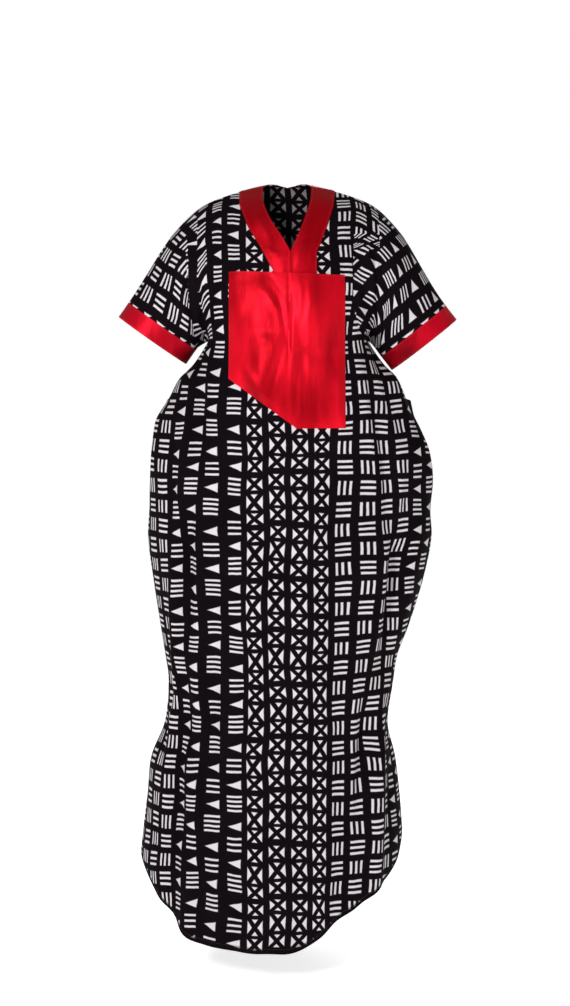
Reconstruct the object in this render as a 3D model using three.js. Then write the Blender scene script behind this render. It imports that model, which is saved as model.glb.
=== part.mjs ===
// A boubou-cut kaftan in its worn form: hollow, open at the neck, cuffs and hem, with hands' openings in
// the side seams. Millimetres, +Z up, the front toward -Y, +X the wearer's left.
// The origin is the middle of the neck, just under the top of the shoulder line.
import * as THREE from 'three';

// Walls, and the gap kept at every seam
const COTTON_WALL = 2;
const SATIN_WALL = 1.6;
const POCKET_WALL = 1.2;
const SEAM_GAP = 0.3;

// Grid of the front and back: rows run from the shoulder seam to the hem, columns from a side to the middle
const YOKE_ROWS = 9;
const SKIRT_ROWS = 30;
const SIDE_COLUMNS = 6;
const SLEEVE_COLUMNS = 4;
const EVEN_ROWS = 5;
const SAME_POINT = 617.3;

// Middle columns of each half, from the panel's edge to the middle
const FRONT_COLUMNS = { right: [-108, -81, -54, -28, -12, 4], left: [103, 78, 52, 36, 20, 4] };
const BACK_COLUMNS = { right: [-108, -84, -60, -38, -18, 0], left: [103, 84, 60, 38, 18, 0] };

// The yoke, row by row down to the armpit: where the row meets the fold between body and sleeve, the depth
// and height of its middle, and how full its curve is (1 a shallow bow, 2 an ellipse)
const FRONT_YOKE = [
  { foldX: 160, foldY: 10, foldZ: -28, midY: 8, midZ: 9, full: 1 },
  { foldX: 161, foldY: -20, foldZ: -42, midY: -32, midZ: -22, full: 1 },
  { foldX: 162, foldY: -42, foldZ: -66, midY: -60, midZ: -57, full: 1 },
  { foldX: 163, foldY: -56, foldZ: -95, midY: -78, midZ: -91, full: 1 },
  { foldX: 163, foldY: -64, foldZ: -126, midY: -93, midZ: -120, full: 1.05 },
  { foldX: 162, foldY: -68, foldZ: -158, midY: -105, midZ: -160, full: 1.1 },
  { foldX: 160, foldY: -66, foldZ: -190, midY: -114, midZ: -193, full: 1.2 },
  { foldX: 157, foldY: -57, foldZ: -222, midY: -121, midZ: -226, full: 1.4 },
  { foldX: 154, foldY: -38, foldZ: -254, midY: -126, midZ: -260, full: 1.65 },
  { foldX: 150, foldY: 4, foldZ: -283, midY: -130, midZ: -296, full: 2 },
];
const BACK_YOKE = [
  { foldX: 160, foldY: 10, foldZ: -28, midY: 8, midZ: 9, full: 1 },
  { foldX: 161, foldY: 36, foldZ: -39, midY: 38, midZ: 15, full: 1 },
  { foldX: 162, foldY: 56, foldZ: -62, midY: 62, midZ: 9, full: 1 },
  { foldX: 163, foldY: 67, foldZ: -92, midY: 80, midZ: -32, full: 1 },
  { foldX: 163, foldY: 73, foldZ: -124, midY: 92, midZ: -74, full: 1.05 },
  { foldX: 162, foldY: 75, foldZ: -157, midY: 100, midZ: -118, full: 1.1 },
  { foldX: 160, foldY: 73, foldZ: -190, midY: 106, midZ: -162, full: 1.2 },
  { foldX: 157, foldY: 64, foldZ: -223, midY: 110, midZ: -206, full: 1.4 },
  { foldX: 154, foldY: 44, foldZ: -255, midY: 113, midZ: -251, full: 1.65 },
  { foldX: 150, foldY: 4, foldZ: -283, midY: 115, midZ: -296, full: 2 },
];

// The neck's cut edge on each row, as far as the V's point in front and the centre back behind
const NECK_EDGE = {
  front: { right: [-47, -46, -33, -12, 4], left: [43, 40, 29, 16, 4] },
  back: { right: [-47, -33, 0], left: [43, 31, 0] },
};
const V_POINT_ROW = 4;

// Rings below the armpit: height, reach to each side, and depth before and behind the side seams
const SEAM_Y = 4;
const RINGS = [
  { z: -283, right: 150, left: 150, front: 134, back: 111 },
  { z: -305, right: 163, left: 164, front: 135, back: 114 },
  { z: -329, right: 180, left: 182, front: 136, back: 117 },
  { z: -353, right: 204, left: 204, front: 137, back: 120 },
  { z: -389, right: 223, left: 220, front: 138, back: 124 },
  { z: -425, right: 245, left: 236, front: 140, back: 128 },
  { z: -450, right: 250, left: 248, front: 142, back: 131 },
  { z: -486, right: 254, left: 262, front: 144, back: 135 },
  { z: -537, right: 257, left: 269, front: 147, back: 139 },
  { z: -600, right: 260, left: 266, front: 150, back: 143 },
  { z: -649, right: 262, left: 268, front: 152, back: 145 },
  { z: -727, right: 252, left: 252, front: 154, back: 147 },
  { z: -810, right: 239, left: 226, front: 155, back: 148 },
  { z: -868, right: 230, left: 204, front: 155, back: 147 },
  { z: -916, right: 224, left: 196, front: 154, back: 146 },
  { z: -993, right: 231, left: 186, front: 153, back: 146 },
  { z: -1057, right: 256, left: 200, front: 153, back: 148 },
  { z: -1124, right: 263, left: 208, front: 154, back: 151 },
  { z: -1193, right: 271, left: 213, front: 156, back: 155 },
  { z: -1240, right: 275, left: 212, front: 157, back: 157 },
  { z: -1310, right: 270, left: 206, front: 158, back: 158 },
  { z: -1390, right: 262, left: 200, front: 158, back: 158 },
];

// The hem, seen from the front: it rises at both sides, more at the wearer's left
const HEM = [
  { x: -275, z: -1234 },
  { x: -252, z: -1278 },
  { x: -218, z: -1335 },
  { x: -184, z: -1366 },
  { x: -124, z: -1374 },
  { x: -50, z: -1377 },
  { x: 21, z: -1374 },
  { x: 91, z: -1326 },
  { x: 158, z: -1280 },
  { x: 200, z: -1240 },
  { x: 213, z: -1193 },
];
const HEM_REACH = { right: 273, left: 212 };

// Openings in the side seams, parted for the forearms
const SLIT = { top: -392, end: -590, part: 66 };

// Half-sleeves: the seam ring that carries the cuff, seen from the front
const CUFF = { width: 33, tall: 77, deep: 59 };
const SLEEVES = {
  right: { x: -235, y: 2, z: -254, droop: 55 },
  left: { x: 234, y: 2, z: -263, droop: 52 },
};

// Largest folds: each runs from one place to another, given by the distance round from the middle
// and the height; high is a ridge, and below nothing a trough
const FOLDS = [
  { face: 'front', fromAcross: -175, fromZ: -300, toAcross: -215, toZ: -760, wide: 34, high: -13 },
  { face: 'front', fromAcross: -205, fromZ: -420, toAcross: -262, toZ: -980, wide: 32, high: 11 },
  { face: 'front', fromAcross: -130, fromZ: -470, toAcross: -168, toZ: -1300, wide: 38, high: -10 },
  { face: 'front', fromAcross: -222, fromZ: -860, toAcross: -252, toZ: -1330, wide: 42, high: -14 },
  { face: 'front', fromAcross: -30, fromZ: -760, toAcross: -62, toZ: -1400, wide: 46, high: 7 },
  { face: 'front', fromAcross: 165, fromZ: -300, toAcross: 212, toZ: -640, wide: 34, high: -13 },
  { face: 'front', fromAcross: 262, fromZ: -520, toAcross: 150, toZ: -1080, wide: 36, high: -14 },
  { face: 'front', fromAcross: 110, fromZ: -470, toAcross: 92, toZ: -1330, wide: 36, high: -9 },
  { face: 'front', fromAcross: 196, fromZ: -700, toAcross: 176, toZ: -1250, wide: 34, high: 11 },
  { face: 'front', fromAcross: 30, fromZ: -900, toAcross: 28, toZ: -1400, wide: 40, high: -6 },
  { face: 'back', fromAcross: -120, fromZ: -250, toAcross: -190, toZ: -900, wide: 40, high: -12 },
  { face: 'back', fromAcross: -60, fromZ: -330, toAcross: -96, toZ: -1400, wide: 44, high: 9 },
  { face: 'back', fromAcross: 6, fromZ: -380, toAcross: -8, toZ: -1400, wide: 40, high: -11 },
  { face: 'back', fromAcross: 70, fromZ: -300, toAcross: 92, toZ: -1380, wide: 42, high: 10 },
  { face: 'back', fromAcross: 130, fromZ: -250, toAcross: 196, toZ: -960, wide: 38, high: -12 },
  { face: 'back', fromAcross: -150, fromZ: -760, toAcross: -232, toZ: -1330, wide: 44, high: 11 },
  { face: 'back', fromAcross: 150, fromZ: -820, toAcross: 168, toZ: -1280, wide: 36, high: -10 },
];
const FOLD_FADE = 150;

// Satin pieces: the neckband's width, its tail's slant below the V, and the panel over the placket
const BAND_WIDTH = 45;
const TAIL_LENGTH = 110;
const PLACKET = { edge: 52, lastRow: 8 };
const PANEL = { right: -108, firstRow: 5, lastRow: 14, cutFromZ: -351, cutToX: 15, bottomZ: -440 };
const PANEL_TILT = 0.05;
const SNAP = 1;

// Pocket bags: each ring's distance in from the mouth, half height, half thickness and sag
const POCKET_RINGS = [
  { inward: 26, high: 104, thick: 27, sag: 8 },
  { inward: 60, high: 112, thick: 20, sag: 22 },
  { inward: 96, high: 112, thick: 15, sag: 34 },
  { inward: 124, high: 100, thick: 12, sag: 40 },
  { inward: 140, high: 74, thick: 8, sag: 44 },
];

const MATERIALS = {
  print: new THREE.MeshStandardMaterial({ color: 0x1d1519, roughness: 0.85, metalness: 0 }),
  satin: new THREE.MeshStandardMaterial({ color: 0xd0162c, roughness: 0.35, metalness: 0 }),
  pocketing: new THREE.MeshStandardMaterial({ color: 0x141014, roughness: 0.9, metalness: 0 }),
};

const HALVES = [{ name: 'right', sign: -1 }, { name: 'left', sign: 1 }];
const FACES = [{ name: 'front', sign: -1 }, { name: 'back', sign: 1 }];
const QUARTER = Math.PI / 2;
const lerp = THREE.MathUtils.lerp;
const clamp = THREE.MathUtils.clamp;

// A smooth value read from a table, between its rows
function read(table, key, column, at) {
  const down = table[1][key] < table[0][key];
  let i = 0;
  while (i < table.length - 2 && (down ? at < table[i + 1][key] : at > table[i + 1][key])) {
    i += 1;
  }
  const [a, b] = [table[i], table[i + 1]];
  const [before, after] = [table[Math.max(i - 1, 0)], table[Math.min(i + 2, table.length - 1)]];
  const span = b[key] - a[key];
  const t = clamp((at - a[key]) / span, 0, 1);
  const slopeA = span * (b[column] - before[column]) / (b[key] - before[key]);
  const slopeB = span * (after[column] - a[column]) / (after[key] - a[key]);
  const t2 = t * t;
  const t3 = t2 * t;
  return a[column] * (2 * t3 - 3 * t2 + 1) + slopeA * (t3 - 2 * t2 + t)
    + b[column] * (3 * t2 - 2 * t3) + slopeB * (t3 - t2);
}

// Half of the seam's parting at a height
function slitPart(z) {
  const t = (SLIT.top - z) / (SLIT.top - SLIT.end);
  return t > 0 && t < 1 ? 0.5 * SLIT.part * Math.sin(Math.PI * t) ** 0.8 : 0;
}

function innerColumns(face, half) {
  return (face.name === 'front' ? FRONT_COLUMNS : BACK_COLUMNS)[half.name];
}

// Place of a column on a ring, as its angle round from the middle
function columnAngle(face, half, column, reach, endAngle) {
  const inner = innerColumns(face, half);
  if (column >= SIDE_COLUMNS) {
    return half.sign * Math.asin(clamp(inner[column - SIDE_COLUMNS] / reach, -1, 1));
  }
  const panelAngle = Math.asin(Math.abs(inner[0]) / reach);
  return lerp(endAngle, panelAngle, column / SIDE_COLUMNS);
}

function yokePoint(face, half, column, row) {
  const { foldX, foldY, foldZ, midY, midZ, full } = (face.name === 'front' ? FRONT_YOKE : BACK_YOKE)[row];
  const columns = SIDE_COLUMNS + innerColumns(face, half).length - 1;
  const middle = innerColumns(face, half).at(-1);
  const edges = NECK_EDGE[face.name][half.name];
  const side = half.sign * foldX;
  const settled = half.sign * foldX * Math.sin(columnAngle(face, half, column, foldX, QUARTER));
  const share = lerp(column / columns, (settled - side) / (middle - side), Math.min(1, row / EVEN_ROWS));
  const x = side + share * ((edges[row] ?? middle) - side);
  const outward = Math.min(1, (x / foldX) ** 2);
  const tilt = row < EVEN_ROWS ? row / EVEN_ROWS : 1 - (row - EVEN_ROWS) / (2 * YOKE_ROWS);
  return {
    x,
    y: foldY + (midY - foldY) * (1 - outward) ** (1 / full),
    z: lerp(midZ, foldZ, outward) - (face.name === 'front' ? PANEL_TILT * tilt * x * (1 - outward) : 0),
    across: foldX * Math.asin(clamp(x / foldX, -1, 1)),
  };
}

function skirtPoint(face, half, column, row) {
  const top = yokePoint(face, half, column, YOKE_ROWS);
  const hemReach = HEM_REACH[half.name];
  const hemX = half.sign * hemReach * Math.sin(columnAngle(face, half, column, hemReach, QUARTER));
  const z = lerp(top.z, read(HEM, 'x', 'z', hemX), (row - YOKE_ROWS) / SKIRT_ROWS);
  const isMiddle = column === SIDE_COLUMNS + innerColumns(face, half).length - 1;
  const reach = read(RINGS, 'z', isMiddle ? 'right' : half.name, z);
  const depth = read(RINGS, 'z', face.name, z);
  const endAngle = QUARTER - Math.asin(slitPart(z) / depth);
  const angle = columnAngle(face, half, column, reach, endAngle);
  const widen = column < SIDE_COLUMNS ? lerp(1 / Math.sin(endAngle), 1, column / SIDE_COLUMNS) : 1;
  return {
    x: half.sign * reach * Math.sin(angle) * widen,
    y: SEAM_Y + face.sign * depth * Math.cos(angle),
    z,
    across: half.sign * reach * angle,
  };
}

// A point round the sleeve's end, a distance out along the arm past the cuff's seam
function cuffPoint(face, half, row, out) {
  const { x, y, z, droop } = SLEEVES[half.name];
  const lean = THREE.MathUtils.degToRad(droop);
  const turn = Math.PI * row / YOKE_ROWS;
  const up = CUFF.tall * Math.cos(turn);
  return new THREE.Vector3(
    x + half.sign * (up * Math.sin(lean) + out * Math.cos(lean)),
    y + face.sign * CUFF.deep * Math.sin(turn),
    z + up * Math.cos(lean) - out * Math.sin(lean),
  );
}

function sleevePoint(face, half, column, row) {
  const fold = yokePoint(face, half, 0, row);
  const start = new THREE.Vector3(fold.x, fold.y, fold.z);
  const end = cuffPoint(face, half, row, 0);
  const length = start.distanceTo(end);
  const bulge = 0.5 * Math.sin(Math.PI * row / YOKE_ROWS);
  const leave = new THREE.Vector3(half.sign * 0.86, face.sign * bulge, -0.46).normalize();
  const arrive = end.clone().sub(cuffPoint(face, half, row, CUFF.width)).normalize();
  const curve = new THREE.CubicBezierCurve3(
    start,
    start.clone().addScaledVector(leave, 0.27 * length),
    end.clone().addScaledVector(arrive, 0.33 * length),
    end,
  );
  return curve.getPoint(column / SLEEVE_COLUMNS);
}

function foldHeight(face, across, z) {
  let height = 0;
  for (const fold of FOLDS.filter((one) => one.face === face.name)) {
    const t = (fold.fromZ - z) / (fold.fromZ - fold.toZ);
    const fade = clamp((fold.fromZ - z) / FOLD_FADE, 0, 1) * clamp((z - fold.toZ) / FOLD_FADE + 1, 0, 1);
    const off = Math.abs(across - lerp(fold.fromAcross, fold.toAcross, t)) / fold.wide;
    height += off < 1 ? fold.high * fade * (0.5 + 0.5 * Math.cos(Math.PI * off)) : 0;
  }
  return height;
}

// A sheet of cloth as shared points and four-cornered cells, each cell marked with the piece it belongs to
class Cloth {
  points = [];
  lift = [];
  cells = [];
  ids = new Map();

  point({ x, y, z }, lift = 0) {
    const key = [x, y, z].map((value) => Math.round(value * SAME_POINT)).join();
    if (!this.ids.has(key)) {
      this.ids.set(key, this.points.length);
      this.points.push(new THREE.Vector3(x, y, z));
      this.lift.push(lift);
    }
    return this.ids.get(key);
  }

  // Cells between two rows of points; marks says what each cell is
  weave(upper, lower, flip, marks) {
    for (let i = 0; i + 1 < upper.length; i += 1) {
      const corners = [upper[i], lower[i], lower[i + 1], upper[i + 1]];
      this.cells.push({ corners: flip ? corners.reverse() : corners, ...marks(i) });
    }
  }

  // Outward direction at each point, and how much further a mitred corner moves
  settle() {
    this.normals = this.points.map(() => new THREE.Vector3());
    const flats = [];
    for (const { corners: [a, b, c, d] } of this.cells) {
      const [p, q, r, s] = [a, b, c, d].map((id) => this.points[id]);
      const flat = r.clone().sub(p).cross(s.clone().sub(q));
      flats.push(flat);
      new Set([a, b, c, d]).forEach((id) => this.normals[id].add(flat));
    }
    this.normals.forEach((normal) => normal.normalize());
    const lean = this.points.map(() => 1);
    this.cells.forEach(({ corners }, i) => {
      const unit = flats[i].clone().normalize();
      corners.forEach((id) => {
        lean[id] = Math.min(lean[id], this.normals[id].dot(unit));
      });
    });
    this.mitre = lean.map((value) => 1 / Math.max(value, 0.5));
  }
}

// The whole garment as one sheet round the body: fronts, backs and cuffs share their seam points
function weaveGarment() {
  const cloth = new Cloth();
  for (const face of FACES) {
    for (const half of HALVES) {
      const columns = SIDE_COLUMNS + innerColumns(face, half).length - 1;
      const flip = (face.sign > 0) !== (half.sign > 0);
      const rows = [];
      for (let row = 0; row <= YOKE_ROWS + SKIRT_ROWS; row += 1) {
        const line = [];
        for (let column = 0; column <= columns; column += 1) {
          const place = (row <= YOKE_ROWS ? yokePoint : skirtPoint)(face, half, column, row);
          const atSide = clamp(column / 2, 0, 1);
          line.push(cloth.point(place, atSide * foldHeight(face, place.across, place.z)));
        }
        rows.push(line);
      }
      for (let row = 0; row + 1 < rows.length; row += 1) {
        const marks = (column) => ({ piece: face.name, face, half, row, column });
        cloth.weave(rows[row], rows[row + 1], flip, marks);
      }
      for (let row = 0; row < YOKE_ROWS; row += 1) {
        const line = (at) => [
          cloth.point(cuffPoint(face, half, at, CUFF.width)),
          ...Array.from({ length: SLEEVE_COLUMNS }, (_, i) => (
            cloth.point(sleevePoint(face, half, SLEEVE_COLUMNS - i, at)))),
          rows[at][0],
        ];
        const marks = (column) => ({ piece: column === 0 ? `cuff_${half.name}` : face.name, half, row: -1 });
        cloth.weave(line(row), line(row + 1), flip, marks);
      }
    }
  }
  cloth.settle();
  cloth.points.forEach((point, id) => point.addScaledVector(cloth.normals[id], cloth.lift[id]));
  cloth.settle();
  cloth.heap = cloth.points.map(() => 0);
  return cloth;
}

// Triangles of the cells that a piece covers, cut where keep falls below nothing
function cutCells(cloth, cells, keep) {
  const values = new Map();
  const value = (id) => {
    if (!values.has(id)) {
      const exact = keep(cloth.points[id]);
      values.set(id, Math.abs(exact) < SNAP ? 0 : exact);
    }
    return values.get(id);
  };
  const cuts = new Map();
  const cutPoint = (a, b) => {
    const key = [Math.min(a, b), Math.max(a, b)].join();
    if (!cuts.has(key)) {
      const [low, high] = key.split(',').map(Number);
      const t = value(low) / (value(low) - value(high));
      const id = cloth.points.length;
      cloth.points.push(cloth.points[low].clone().lerp(cloth.points[high], t));
      cloth.normals.push(cloth.normals[low].clone().lerp(cloth.normals[high], t));
      cloth.mitre.push(lerp(cloth.mitre[low], cloth.mitre[high], t));
      cloth.heap.push(lerp(cloth.heap[low], cloth.heap[high], t));
      cuts.set(key, id);
    }
    return cuts.get(key);
  };
  const triangles = [];
  const touched = new Set();
  for (const { corners: [a, b, c, d] } of cells) {
    for (const triangle of [[a, b, c], [a, c, d]].filter((one) => new Set(one).size === 3)) {
      if (!triangle.some((id) => value(id) > 0)) {
        continue;
      }
      const kept = [];
      triangle.forEach((id, i) => {
        const next = triangle[(i + 1) % 3];
        if (value(id) >= 0) {
          kept.push(id);
        }
        if (value(id) * value(next) < 0) {
          kept.push(cutPoint(id, next));
        }
      });
      for (let i = 1; i + 1 < kept.length; i += 1) {
        triangles.push([kept[0], kept[i], kept[i + 1]]);
      }
      [a, b, c, d].forEach((id) => touched.add(id));
    }
  }
  return { triangles, touched };
}

// One closed wall: the sheet's triangles at two heights over its points, joined round every free edge,
// and each free edge drawn back by half a seam gap
function wall(cloth, triangles, low, high) {
  const edges = new Map();
  for (const triangle of triangles) {
    triangle.forEach((id, i) => edges.set([id, triangle[(i + 1) % 3]].join(), [id, triangle[(i + 1) % 3]]));
  }
  const free = [...edges.values()].filter(([a, b]) => !edges.has([b, a].join()));
  const draw = new Map();
  for (const [a, b] of free) {
    const along = cloth.points[b].clone().sub(cloth.points[a]).normalize();
    const inward = cloth.normals[a].clone().add(cloth.normals[b]).cross(along).normalize();
    for (const id of [a, b]) {
      draw.set(id, (draw.get(id) ?? new THREE.Vector3()).add(inward));
    }
  }
  const used = [...new Set(triangles.flat())];
  const place = new Map(used.map((id, i) => [id, i]));
  const positions = [];
  for (const height of [high, low]) {
    for (const id of used) {
      const point = cloth.points[id].clone().addScaledVector(cloth.normals[id], height(id) * cloth.mitre[id]);
      if (draw.has(id)) {
        const pull = draw.get(id);
        point.addScaledVector(pull, SEAM_GAP / Math.max(pull.lengthSq(), 1));
      }
      positions.push(...point.toArray());
    }
  }
  const indices = [];
  for (const [a, b, c] of triangles.map((triangle) => triangle.map((id) => place.get(id)))) {
    indices.push(a, b, c, c + used.length, b + used.length, a + used.length);
  }
  for (const edge of free) {
    const [a, b] = edge.map((id) => place.get(id));
    const [c, d] = [a + used.length, b + used.length];
    indices.push(...(edge[0] < edge[1] ? [a, c, d, a, d, b] : [a, c, b, c, d, b]));
  }
  const geometry = new THREE.BufferGeometry();
  geometry.setAttribute('position', new THREE.Float32BufferAttribute(positions, 3));
  geometry.setIndex(indices);
  geometry.computeVertexNormals();
  return geometry;
}

function sewnPiece(name, material, geometry) {
  const mesh = new THREE.Mesh(geometry, material);
  mesh.name = name;
  return mesh;
}

// Front, back and cuffs: the sheet's own cells, the wall inside them
function panelPiece(cloth, name, material, thickness) {
  const cells = cloth.cells.filter((cell) => cell.piece === name);
  const { triangles } = cutCells(cloth, cells, () => Infinity);
  return sewnPiece(name, material, wall(cloth, triangles, () => -thickness, () => 0));
}

// A satin piece laid on the sheet, over whatever is on it already
function laidPiece(cloth, name, cells, keep) {
  const { triangles, touched } = cutCells(cloth, cells, keep);
  const low = (id) => cloth.heap[id] + SEAM_GAP;
  const high = (id) => cloth.heap[id] + SEAM_GAP + SATIN_WALL;
  const geometry = wall(cloth, triangles, low, high);
  const heights = [...touched].map((id) => [id, high(id)]);
  heights.forEach(([id, height]) => {
    cloth.heap[id] = height;
  });
  return sewnPiece(name, MATERIALS.satin, geometry);
}

function distanceToLine(point, line) {
  const nearest = new THREE.Vector3();
  let least = Infinity;
  for (let i = 0; i + 1 < line.length; i += 1) {
    new THREE.Line3(line[i], line[i + 1]).closestPointToPoint(point, true, nearest);
    least = Math.min(least, nearest.distanceTo(point));
  }
  return least;
}

// The neck's edge on one half, from below the V up over the shoulder to the centre back
function neckLine(half) {
  const columns = SIDE_COLUMNS + FRONT_COLUMNS[half.name].length - 1;
  const at = (face, row) => {
    const { x, y, z } = yokePoint(face, half, columns, row);
    return new THREE.Vector3(x, y, z);
  };
  const [front, back] = FACES;
  const rows = Array.from({ length: V_POINT_ROW + 1 }, (_, i) => at(front, V_POINT_ROW - i));
  const slant = rows[0].clone().sub(rows[2]).normalize();
  const tail = half.name === 'right' ? [rows[0].clone().addScaledVector(slant, TAIL_LENGTH)] : [];
  return [...tail, ...rows, at(back, 1), at(back, 2)];
}

function neckband(cloth, half) {
  const line = neckLine(half);
  const isLeft = half.name === 'left';
  const lastRow = { front: isLeft ? PLACKET.lastRow : PANEL.firstRow, back: V_POINT_ROW + 1 };
  const cells = cloth.cells.filter((cell) => (
    cell.half === half && cell.row >= 0 && cell.row <= lastRow[cell.piece]));
  const keep = (point) => {
    const band = BAND_WIDTH - distanceToLine(point, line);
    const placket = isLeft && point.y < 0 && point.z < line[0].z ? PLACKET.edge - point.x : -Infinity;
    return Math.max(band, Math.abs(placket) < 2 * SNAP ? 0 : placket);
  };
  return laidPiece(cloth, `neckband_${half.name}`, cells, keep);
}

function chestPanel(cloth) {
  const cells = cloth.cells.filter(({ piece, half, row, column }) => (
    piece === 'front' && column >= SIDE_COLUMNS && half && row >= PANEL.firstRow && row < PANEL.lastRow));
  const uncutZ = yokePoint(FACES[0], HALVES[0], SIDE_COLUMNS, YOKE_ROWS).z;
  const cutFrom = new THREE.Vector2(PANEL.right, PANEL.cutFromZ);
  const along = new THREE.Vector2(PANEL.cutToX, PANEL.bottomZ).sub(cutFrom).normalize();
  const keep = ({ x, z }) => {
    const corner = (z - cutFrom.y) * along.x - (x - cutFrom.x) * along.y;
    return z > uncutZ ? Infinity : Math.min(corner, z - PANEL.bottomZ);
  };
  return laidPiece(cloth, 'chest_panel', cells, keep);
}

// A pocket bag behind a side opening: its mouth follows the opening's edges on the inside
function pocketBag(cloth, half) {
  const bag = new Cloth();
  const mouth = pocketMouth(cloth, half);
  const count = mouth.length;
  const centre = mouth.reduce((sum, point) => sum.add(point), new THREE.Vector3()).divideScalar(count);
  const ring = ({ inward, high, thick, sag }) => mouth.map((_, i) => {
    const turn = 2 * Math.PI * i / count;
    return bag.point({
      x: centre.x - half.sign * inward,
      y: centre.y - thick * Math.sin(turn),
      z: centre.z - sag + high * Math.cos(turn),
    });
  });
  const rings = [mouth.map((point) => bag.point(point)), ...POCKET_RINGS.map(ring)];
  const flip = half.sign < 0;
  const unmarked = () => ({});
  for (let i = 0; i + 1 < rings.length; i += 1) {
    bag.weave([...rings[i], rings[i][0]], [...rings[i + 1], rings[i + 1][0]], flip, unmarked);
  }
  const last = rings.at(-1);
  const before = last.slice(0, count / 2 + 1);
  const behind = [last[0], ...last.slice(count / 2).reverse()];
  bag.weave(before, behind, flip, unmarked);
  bag.settle();
  const { triangles } = cutCells(bag, bag.cells, () => Infinity);
  const geometry = wall(bag, triangles, () => -POCKET_WALL, () => 0);
  return sewnPiece(`pocket_${half.name}`, MATERIALS.pocketing, geometry);
}

// The opening's edges, from its top down the front edge and back up the other, inside the panels' walls
function pocketMouth(cloth, half) {
  const edge = (face) => {
    const rows = Array.from({ length: SKIRT_ROWS }, (_, i) => skirtPoint(face, half, 0, YOKE_ROWS + i));
    const isOpen = rows.map(({ z }) => slitPart(z) > 0);
    return rows.slice(isOpen.indexOf(true) - 1, isOpen.lastIndexOf(true) + 2).map((place) => {
      const id = cloth.point(place);
      return cloth.points[id].clone().addScaledVector(cloth.normals[id], -COTTON_WALL - SEAM_GAP);
    });
  };
  const [front, back] = FACES.map(edge);
  return [...front, ...back.slice(1, -1).reverse()];
}

const kaftan = new THREE.Group();
const garment = weaveGarment();
const [right, left] = HALVES;
kaftan.add(
  panelPiece(garment, 'front', MATERIALS.print, COTTON_WALL),
  panelPiece(garment, 'back', MATERIALS.print, COTTON_WALL),
  panelPiece(garment, 'cuff_right', MATERIALS.satin, SATIN_WALL),
  panelPiece(garment, 'cuff_left', MATERIALS.satin, SATIN_WALL),
  neckband(garment, right),
  neckband(garment, left),
  chestPanel(garment),
  pocketBag(garment, right),
  pocketBag(garment, left),
);

export default kaftan;
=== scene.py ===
import math

import bpy
import numpy as np
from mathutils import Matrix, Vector


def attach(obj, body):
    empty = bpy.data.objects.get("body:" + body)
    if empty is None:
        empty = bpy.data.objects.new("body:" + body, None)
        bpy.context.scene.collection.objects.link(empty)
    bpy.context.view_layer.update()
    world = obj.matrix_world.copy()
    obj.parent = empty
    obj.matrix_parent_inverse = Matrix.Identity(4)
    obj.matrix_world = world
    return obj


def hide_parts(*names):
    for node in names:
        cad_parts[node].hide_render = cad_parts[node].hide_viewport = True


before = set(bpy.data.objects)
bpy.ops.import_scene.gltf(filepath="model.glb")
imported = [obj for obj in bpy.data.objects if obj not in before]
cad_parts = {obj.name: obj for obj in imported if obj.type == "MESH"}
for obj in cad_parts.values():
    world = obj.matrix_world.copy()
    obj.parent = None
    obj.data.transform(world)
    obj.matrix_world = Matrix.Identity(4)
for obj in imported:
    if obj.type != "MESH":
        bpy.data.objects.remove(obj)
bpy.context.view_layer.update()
MM = 0.001

# Walls, the gap under a laid piece, and how far a free edge is drawn back at a seam
COTTON = 0.9
SATIN = 1.0
POCKETING = 0.6
LAID_GAP = 0.25
SEAM_DRAW = 0.12

# The coarse cutting grid, and how finely each of its steps is parted
YOKE_ROWS = 9
SKIRT_ROWS = 30
SIDE_COLUMNS = 6
ALL_COLUMNS = 11
EVEN_ROWS = 5  # over which the columns settle from even steps into their own places
FINE = 6
SLEEVE_STEPS = 26
CUFF_STEPS = 7
# The fine rows at the armpit and at the hem
ARMPIT = YOKE_ROWS * FINE
LAST = (YOKE_ROWS + SKIRT_ROWS) * FINE
SAME_POINT = 617.3  # points that round alike at this many to the millimetre are one
SEAM_Y = 4.0

# Across the middle, from its outer edge in: each column's x, and the neck's edge row by row
COLUMNS = {
    ("front", "right"): [-108, -81, -54, -28, -12, 4],
    ("front", "left"): [103, 78, 52, 36, 20, 4],
    ("back", "right"): [-108, -84, -60, -38, -18, 0],
    ("back", "left"): [103, 84, 60, 38, 18, 0],
}
NECK_EDGE = {
    ("front", "right"): [-47, -46, -33, -12, 4],
    ("front", "left"): [43, 40, 29, 16, 4],
    ("back", "right"): [-47, -33, 0],
    ("back", "left"): [43, 31, 0],
}
# The yoke, row by row: fold x, y, z, middle y, z, and how full its curve is
YOKE = {
    "front": [
        (160, 10, -28, 8, 9, 1), (161, -20, -42, -32, -22, 1),
        (162, -42, -66, -60, -57, 1), (163, -56, -95, -78, -91, 1),
        (163, -64, -126, -93, -120, 1.05), (162, -68, -158, -105, -160, 1.1),
        (160, -66, -190, -114, -193, 1.2), (157, -57, -222, -121, -226, 1.4),
        (154, -38, -254, -126, -260, 1.65), (150, 4, -283, -130, -296, 2),
    ],
    "back": [
        (160, 10, -28, 8, 9, 1), (161, 36, -39, 38, 15, 1),
        (162, 56, -62, 62, 9, 1), (163, 67, -92, 80, -32, 1),
        (163, 73, -124, 92, -74, 1.05), (162, 75, -157, 100, -118, 1.1),
        (160, 73, -190, 106, -162, 1.2), (157, 64, -223, 110, -206, 1.4),
        (154, 44, -255, 113, -251, 1.65), (150, 4, -283, 115, -296, 2),
    ],
}
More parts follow.
